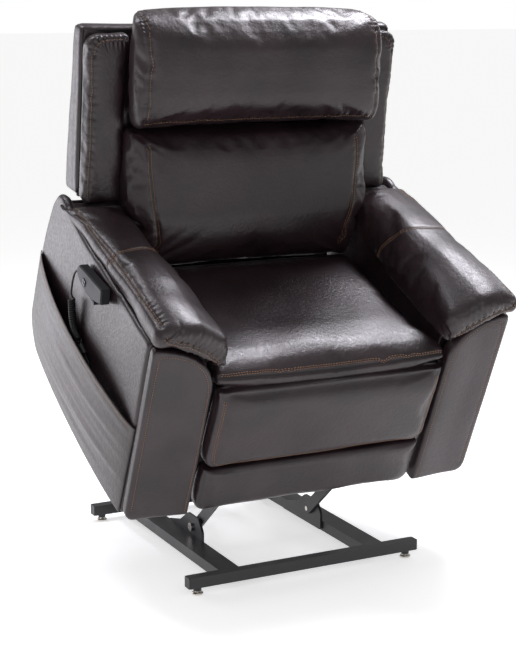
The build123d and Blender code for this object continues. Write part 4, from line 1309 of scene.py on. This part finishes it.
# ---- back ----------------------------------------------------------------------------------------
@dataclass
class Backrest:
    """The back's shell, wings, lumbar cushion and head pillow."""

    shell_half: float = 394.0
    lumbar_half: float = 281.5
    flare: float = 0.095
    pillow_half: float = 288.0
    wing: Sequence[float] = (292.0, 393.0, -22.0, -54.0, 184.0, 560.0)

    def shell(self) -> None:
        """The leather-wrapped shell behind the cushions."""
        piece = Piece("back_shell", BACK, "back", ("back_outer_shell",))
        profile = [(-15, 188), (66, 192), (50, 400), (34, 571), (10, 575), (-15, 572)]
        upper = side_slab(profile, -self.shell_half, self.shell_half, bevel=8.0)
        middle = side_slab([(0, 98), (56, 98), (60, 200), (0, 200)], -276, 276, bevel=5.0)
        lower = side_slab([(0, -18), (52, -18), (57, 110), (0, 110)], -242, 242, bevel=5.0)
        piece.fill(upper, middle, lower).remesh(7.0, passes=4)

        def swell(points: np.ndarray, normals: np.ndarray) -> np.ndarray:
            u = np.clip(points[:, 0] / self.shell_half, -1, 1)
            v = np.clip((points[:, 2] - 190.0) / 378.0, 0, 1)
            crown = 7.0 * np.clip(1 - u ** 4, 0, 1) * (4 * v * (1 - v)) ** 0.6
            moved = points.copy()
            moved[:, 1] += np.clip(normals[:, 1], 0, 1) * crown
            side = np.clip(np.abs(normals[:, 0]), 0, 1) * (4 * v * (1 - v)) ** 0.6
            moved[:, 0] += np.sign(points[:, 0]) * side * 2.0
            return moved + bumps(moved, normals, 160.0, 12, 0.9)
        piece.shape(swell)

        def rear(x: float, z: float) -> Point:
            return (x, 66.0 - 32.0 * (z - 194.0) / 375.0 + 8.0, z)
        seams = [Seam([rear(s * 268, z) for z in (206, 300, 400, 500, 560)], groove=2.2, rows=(4.0, -4.0),
                      tuck=0.7, reach=16, seed=40 + s) for s in SIGNS]
        seams.append(Seam([rear(x, 224) for x in (-262, -150, 0, 150, 262)], groove=2.4,
                          rows=(4.5, -4.5), seed=44))
        seams += [Seam([(s * 392, 8, z) for z in (196, 300, 420, 540)], groove=1.2, width=4.0, rows=(),
                       seed=46) for s in SIGNS]
        sew_all(piece, seams, 0.5)

    def wing_pad(self) -> Piece:
        """The left wing before it is filled."""
        x0, x1, y0, y1, z0, z1 = self.wing
        outline = [(x0, z0 + 8), (x0 + 8, z0), (x1 - 14, z0)] + corner((x1 - 14, z0 + 14), 14, -90, 0, 3)
        outline += corner((x1 - 34, z1 - 34), 34, 0, 90, 6) + [(x0 + 8, z1), (x0, z1 - 8)]
        solid = front_slab(outline, y0, y1 + 6)
        dome(solid, (0.0, -1.0, 0.0), ((2.5, 4.5), (3.5, 3.0), (5.0, 2.0)))
        piece = Piece("left_wing_pad", BACK, "back", ("left_wing",)).fill(solid)
        return piece.remesh(4.5, passes=3)

    def finish_wing(self, piece: Piece, side: Side, seed: int) -> None:
        """Sews the wing's outer edge, with the leather gathered round the top corner."""
        s = side.value

        def keep(points: np.ndarray, normals: np.ndarray) -> np.ndarray:
            moved = points + bumps(points, normals, 90.0, seed, 0.9)
            moved[:, 1] = np.clip(moved[:, 1], -66.0, -15.5)
            foot = 1.0 - smooth_step(points[:, 2], 184.0, 215.0)
            moved[:, 2] -= 8.0 * foot * smooth_step(-points[:, 1], 25.0, 58.0)
            return moved
        piece.shape(keep)
        z1 = self.wing[5]
        edge = [(s * 383, -60, z) for z in (192, 240, 300, 360, 420, 480, 514)]
        turn = [(s * 383, -60, 514), (s * 379, -60, 534), (s * 367, -60, z1 - 12), (s * 350, -59, z1 - 7),
                (s * 330, -59, z1 - 6), (s * 300, -59, z1 - 7)]
        lean = 1 if side is Side.LEFT else -1
        sew_all(piece, [
            Seam(edge, groove=2.0, width=4.5, rows=(3.2,), tuck=1.3, reach=30.0, pitch=17.0, seed=seed),
            Seam(turn, groove=2.6, width=5.0, rows=(3.2 * lean,), tuck=4.2, reach=34.0, pitch=11.0,
                 seed=seed + 1),
        ], 0.7, fine=True)

    def lumbar(self) -> Piece:
        """The lumbar cushion before it is filled."""
        outline = [(-90, 22), (-111, 38), (-128, 72), (-137, 108), (-138, 150), (-131, 205), (-121, 270),
                   (-113, 330), (-96, 350), (-62, 354), (-44, 350), (-44, 22)]
        piece = Piece("lumbar_cushion_cover", BACK, "back", ("lumbar_cushion",))
        piece.fill(side_slab(outline, -self.lumbar_half + 3, self.lumbar_half - 3, bevel=9.0))
        return piece.remesh(5.5, passes=3)

    def finish_lumbar(self, piece: Piece) -> None:
        """Hollows the sides, wrinkles them and sews the two upright seams."""
        def rest(points: np.ndarray, normals: np.ndarray) -> np.ndarray:
            moved = points.copy()
            facing = frontal(normals)
            edge = smooth_step(np.abs(points[:, 0]), 225.0, 280.0)
            slant = (points[:, 2] * 0.55 + np.abs(points[:, 0]) * 0.9) / 11.0
            fold = np.sin(slant + 1.4 * ripple(points, 90.0, 8))
            low = 1.0 - smooth_step(points[:, 2], 60.0, 330.0) * 0.55
            moved[:, 1] += facing * edge * (7.0 + 3.0 * fold * low)
            top = smooth_step(points[:, 2], 300.0, 338.0)
            gather = np.sin(points[:, 0] / 7.0 + 2.0 * ripple(points, 120.0, 4))
            moved[:, 1] += facing * top * (2.2 * gather)
            moved += bumps(points, normals, 150.0, 17, 1.6)
            moved[:, 0] = np.clip(moved[:, 0], -self.lumbar_half, self.lumbar_half)
            moved[:, 0] *= 1.0 + self.flare * smooth_step(points[:, 2], 125.0, 185.0)
            moved[:, 2] = np.minimum(moved[:, 2], 362.0)
            return moved
        piece.shape(rest)
        front = [(243, -124, 62), (246, -140, 120), (258, -134, 190), (264, -116, 270), (266, -112, 326)]
        seams = [Seam([(s * x, y - 8, z) for x, y, z in front], groove=3.2, width=5.5, rows=(4.2, -4.2),
                      tuck=1.1, reach=24.0, pitch=19.0, seed=50 + s) for s in SIGNS]
        sew_all(piece, seams, 0.8, fine=True)

    def pillow(self) -> Piece:
        """The head pillow before it is filled."""
        outline = [(-46, 366), (-112, 360), (-138, 368), (-149, 392), (-152, 440), (-150, 490), (-144, 540),
                   (-132, 578), (-110, 601), (-78, 611), (-46, 611)]
        solid = side_slab(outline, -self.pillow_half - 3, self.pillow_half + 3)
        for way in ((1.0, 0.0, 0.0), (-1.0, 0.0, 0.0)):
            dome(solid, way, ((2.0, 6.0), (6.0, 5.0), (10.0, 3.0)))
        piece = Piece("head_pillow_cover", BACK, "back", ("head_pillow",))
        return piece.fill(solid).remesh(5.5, passes=2)

    def finish_pillow(self, piece: Piece) -> None:
        """Crowns the pillow's top, gathers its corners and sews its edges."""
        def rest(points: np.ndarray, normals: np.ndarray) -> np.ndarray:
            moved = points.copy()
            u = np.clip(points[:, 0] / 300.0, -1, 1)
            high = smooth_step(points[:, 2], 480.0, 610.0)
            moved[:, 2] += high * 9.0 * (1 - np.abs(u) ** 2.5)
            moved[:, 1] -= frontal(normals) * 5.0 * (1 - np.abs(u) ** 3)
            outside = np.abs(points[:, 0]) > 270.0
            rear = smooth_step(points[:, 1], -105.0, -55.0)
            moved[:, 0] -= np.sign(points[:, 0]) * np.where(outside, rear * 12.0, 0.0)
            moved += bumps(points, normals, 140.0, 23, 0.8)
            moved[:, 0] = np.clip(moved[:, 0], -309.5, 309.5)
            return moved
        piece.shape(rest)
        ring = [(-52, 616), (-84, 616), (-114, 606), (-136, 584), (-150, 545), (-158, 490), (-159, 430),
                (-150, 376)]
        seams = []
        for s in SIGNS:
            side = [(s * 289, y, z) for y, z in ring]
            seams.append(Seam(side[3:], groove=2.6, width=5.0, rows=(-3.6 * s,), tuck=1.6, reach=28.0,
                              pitch=20.0, seed=60 + s))
            seams.append(Seam(side[:4], groove=3.0, width=5.0, rows=(-3.6 * s,), tuck=3.6, reach=30.0,
                              pitch=13.0, seed=64 + s))
        bottom = [(x, -142, 366) for x in (-288, -270, -200, -100, 0, 100, 200, 270, 288)]
        seams.append(Seam(bottom, groove=2.2, width=5.0, rows=(4.0,), tuck=3.0, reach=38.0, pitch=17.0,
                          lean=1, seed=71))
        sew_all(piece, seams, 0.85, fine=True)


# ---- footrest ------------------------------------------------------------------------------------
@dataclass
class Footrest:
    """The two leather pads on the footrest board."""

    half: float = 275.0
    lower_half: float = 272.0
    board: float = 32.8

    @staticmethod
    def pad(which: str, half: float, span: Flat, radii: Flat, front: float, nose: Sequence[Flat]) -> Piece:
        """One pad before it is filled.

        Args:
            which: upper or lower.
            half: half the pad's width.
            span: the heights of its foot and its top.
            radii: its lower corners' radii, on the sitter's right and left.
            front: where its face starts.
            nose: how its face is rounded, as for dome.
        Returns:
            The pad.
        """
        (foot, top), (right, left) = span, radii
        outline = [(-half, top)] + corner((-half + right, foot + right), right, 180, 270, 5)
        outline += corner((half - left, foot + left), left, 270, 360, 5) + [(half, top)]
        solid = front_slab(outline, 32.0, front)
        dome(solid, (0.0, -1.0, 0.0), nose)
        piece = Piece(f"footrest_{which}_cover", CHAIR, "footrest", (f"footrest_{which}_pad",))
        return piece.fill(solid).remesh(5.0, 3)

    def upper(self) -> Piece:
        """The upper pad before it is filled."""
        return self.pad("upper", self.half, (130, 337), (26, 34), 3.0, ((3.0, 6.0), (6.0, 3.0), (9.0, 1.5)))

    def lower(self) -> Piece:
        """The lower pad before it is filled."""
        return self.pad("lower", self.lower_half, (5, 126), (22, 30), 5.0,
                        ((3.0, 5.0), (6.0, 2.5), (9.0, 1.0)))

    def finish(self, upper: Piece, lower: Piece) -> None:
        """Leans the upper pad's top back under the seat's roll and sews both pads."""
        def lean(points: np.ndarray, normals: np.ndarray) -> np.ndarray:
            moved = points + bumps(points, normals, 150.0, 33, 1.0)
            high = smooth_step(points[:, 2], 270.0, 335.0)
            moved[:, 1] += high * high * frontal(normals) * 17.0
            moved[:, 1] = np.minimum(moved[:, 1], self.board)
            return moved
        upper.shape(lean)
        half = self.half - 13.0
        right = [(-half, -4, 322), (-half, -6, 250), (-half, -6, 176), (-half + 4, -6, 156),
                 (-half + 18, -6, 145), (-half + 60, -6, 143)]
        line = right + [(0, -6, 143)] + [(-x, y, z) for x, y, z in reversed(right)]
        sew_all(upper, [Seam(line[:4], groove=0.9, width=4.0, rows=(2.0, -2.0), tuck=0.5, reach=16, seed=81),
                        Seam(line[3:10], groove=0.7, width=4.0, rows=(0.0,), seed=82),
                        Seam(line[9:], groove=0.9, width=4.0, rows=(2.0, -2.0), tuck=0.5, reach=16, seed=83)],
                0.6)

        def flat(points: np.ndarray, normals: np.ndarray) -> np.ndarray:
            moved = points + bumps(points, normals, 130.0, 36, 1.0)
            moved[:, 1] = np.minimum(moved[:, 1], self.board)
            return moved
        lower.shape(flat)
        edge = self.lower_half - 7.0
        rough = [(-edge, 4, 118), (-edge, 2, 80), (-edge, 2, 44), (-edge + 6, 3, 24)]
        sew_all(lower, [Seam(rough, groove=1.6, width=4.0, rows=(), tuck=1.8, reach=20, pitch=10, seed=85)], 0.5)


# ---- pocket --------------------------------------------------------------------------------------
@dataclass
class SidePocket:
    """A leather sheet sewn to the arm's outside along its sides and foot, open at the top."""

    wall: float = -434.0
    front: float = 37.0
    rear: float = 677.0
    foot: float = 3.0
    mouth: float = 240.0
    bulge: float = 33.0
    belly: float = 6.0
    thick: float = 2.0
    across: int = 170
    down: int = 64
    hem: float = 15.0
    edge: float = 4.5
    bow_length: float = 1.03

    def spot(self, u: float, v: float) -> Point:
        """Where a point of the sheet hangs.

        Args:
            u: 0 at the front edge, 1 at the rear.
            v: 0 at the foot, 1 at the mouth.
        Returns:
            The place in the chair's frame, in millimetres.
        """
        rake = 27.0 * v * 0.5
        y0, y1 = self.front + rake * 0.35, self.rear - 52.0 * max(0.0, 1 - v / 0.32) ** 2
        lift = 7.0 * math.exp(-((1 - u) / 0.2) ** 2) - 5.0 * math.exp(-(u / 0.12) ** 2)
        z = self.foot + (self.mouth - self.foot + lift * v) * v
        bow = (4 * u * (1 - u)) ** 0.75
        swell = (self.bulge * (0.42 + 0.58 * v) + self.belly * math.sin(math.pi * v)) * bow
        fan = 1.0 - abs(u - 0.5)
        drift = 9.0 * v + 1.1 * u
        folds = 0.6 * (3.4 * math.sin(drift * 2.1 + 0.6) + 2.2 * math.sin(drift * 3.7 + 4.2 * u + 1.1)
                       + 1.3 * math.sin(drift * 6.3 - 5.0 * u))
        calm = min(1.0, (1 - v) * 5.0) * min(1.0, v * 3.0)
        swell += folds * bow * calm * fan
        if v > 1.0 - self.hem / self.mouth:
            swell += 1.1 * bow
        return self.wall - swell, y0 + (y1 - y0) * u, z

    def make(self) -> None:
        """Hangs the sheet and sews its hem."""
        bm = bmesh.new()
        bmesh.ops.create_grid(bm, x_segments=self.across, y_segments=self.down, size=1.0)
        for vert in bm.verts:
            vert.co = Vector(self.spot((vert.co.x + 1) / 2, (vert.co.y + 1) / 2)) * MM
        bmesh.ops.recalc_face_normals(bm, faces=bm.faces)
        if sum(f.normal.x for f in bm.faces) > 0:
            bmesh.ops.reverse_faces(bm, faces=bm.faces)
        area = sum(f.calc_area() for f in bm.faces)
        bmesh.ops.solidify(bm, geom=bm.faces[:], thickness=self.thick * MM)
        bmesh.ops.recalc_face_normals(bm, faces=bm.faces)
        piece = Piece("side_pocket_sheet", CHAIR, "chair", ("side_pocket",)).fill(bm)
        seams = []
        for below, groove, seed in ((self.hem, 1.0, 91), (self.edge, 0.6, 92)):
            line = [self.spot(k / 40, 1 - below / self.mouth) for k in range(1, 40)]
            seams.append(Seam(line, groove=groove, width=3.5, rows=(0.0,), seed=seed))
        sew_all(piece, seams, None)


@dataclass
class RearPanel:
    """The low leather panel across the chair's rear."""

    half: float = 283.5

    def make(self) -> None:
        """A slim panel with soft edges."""
        piece = Piece("rear_panel_cover", CHAIR, "chair", ("rear_panel",))
        outline = [(-self.half, 32), (self.half, 32), (self.half, 188), (-self.half, 188)]
        piece.fill(front_slab(outline, 645.5, 659.5, bevel=4.0)).remesh(6.0, 2)
        line = [(x, 660, 176) for x in (-270, 0, 270)]
        sew_all(piece, [Seam(line, groove=0.8, rows=(0.0,), seed=95)], 0.4)


# ---- the CAD's own parts -------------------------------------------------------------------------
@dataclass
class Metalwork:
    """Dresses the CAD nodes that stay: base, links, actuators, handset and boards."""

    covered: dict[str, Finish] = field(default_factory=lambda: {
        "arm_frames": DUST_CLOTH, "back_board": DUST_CLOTH, "footrest_board": DUST_CLOTH})

    def dress(self, frame: dict) -> None:
        """Gives each node the finish of its slot."""
        slots = set()
        for name, thing in frame["nodes"].items():
            slot = self.slot_of(thing)
            slots.add(slot)
            finish = self.covered.get(name) or SLOT_FINISH.get(slot, SLOT_FINISH["black_plastic"])
            finish.dress(thing)
        LOG.info("dressed %d CAD nodes in %d finishes", len(frame["nodes"]), len(slots))

    @staticmethod
    def slot_of(thing: bpy.types.Object) -> str:
        """The slot that a node was packed with."""
        named = [m.name.split(".")[0] for m in thing.data.materials if m is not None]
        return named[0] if named else ""


def build_arms(filling: Filling) -> tuple[ArmRest, Piece]:
    """The arms' hard-edged panels, and the cover that still has to be filled."""
    arm = ArmRest()
    for side in Side:
        arm.outer_side(side)
        arm.front(side)
    cover = arm.cover()
    filling.add(cover, cap=arm.cap, held=arm.settled, slack=0.012)
    return arm, cover


def finish_arms(arm: ArmRest, cover: Piece) -> None:
    """Mirrors the filled cover and sews each side with its own gathers."""
    right = cover.mirrored("right_arm_cover", ("right_arm_pad", "arm_inner_panels"))
    for piece, side, seed in ((cover, Side.LEFT, 101), (right, Side.RIGHT, 121)):
        arm.soften(piece, seed)
        sew_all(piece, arm.cover_seams(side, seed), 0.8, fine=True)


def main() -> None:
    """Builds the visual model, piece by piece."""
    logging.basicConfig(level=logging.INFO, format="%(name)s: %(message)s")
    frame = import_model()
    studio = Studio()
    studio.camera()
    HandsetCord().make(frame)
    studio.light()
    studio.floor()
    Metalwork().dress(frame)

    filling = Filling()
    arm, cover = build_arms(filling)
    seat, back, footrest = Seat(), Backrest(), Footrest()
    cushion = seat.cushion()
    filling.add(cushion, cap=seat.cap, held=seat.settled, slack=0.01)
    wing, lumbar, pillow = back.wing_pad(), back.lumbar(), back.pillow()
    filling.add(wing, cap=8.0, held=behind(-26.0), slack=0.015)
    filling.add(lumbar, cap=12.0, held=behind(-58.0), slack=0.012)
    filling.add(pillow, cap=11.0, held=behind(-54.0), slack=0.015)
    upper, lower = footrest.upper(), footrest.lower()
    filling.add(upper, cap=4.0, held=behind(28.0))
    filling.add(lower, cap=3.5, held=behind(28.0))
    filling.run()

    finish_arms(arm, cover)
    seat.finish(cushion)
    right_wing = wing.mirrored("right_wing_pad", ("right_wing",))
    back.finish_wing(wing, Side.LEFT, 141)
    back.finish_wing(right_wing, Side.RIGHT, 151)
    back.finish_lumbar(lumbar)
    back.finish_pillow(pillow)
    back.shell()
    footrest.finish(upper, lower)
    SidePocket().make()
    RearPanel().make()


if __name__ == "__main__":
    main()
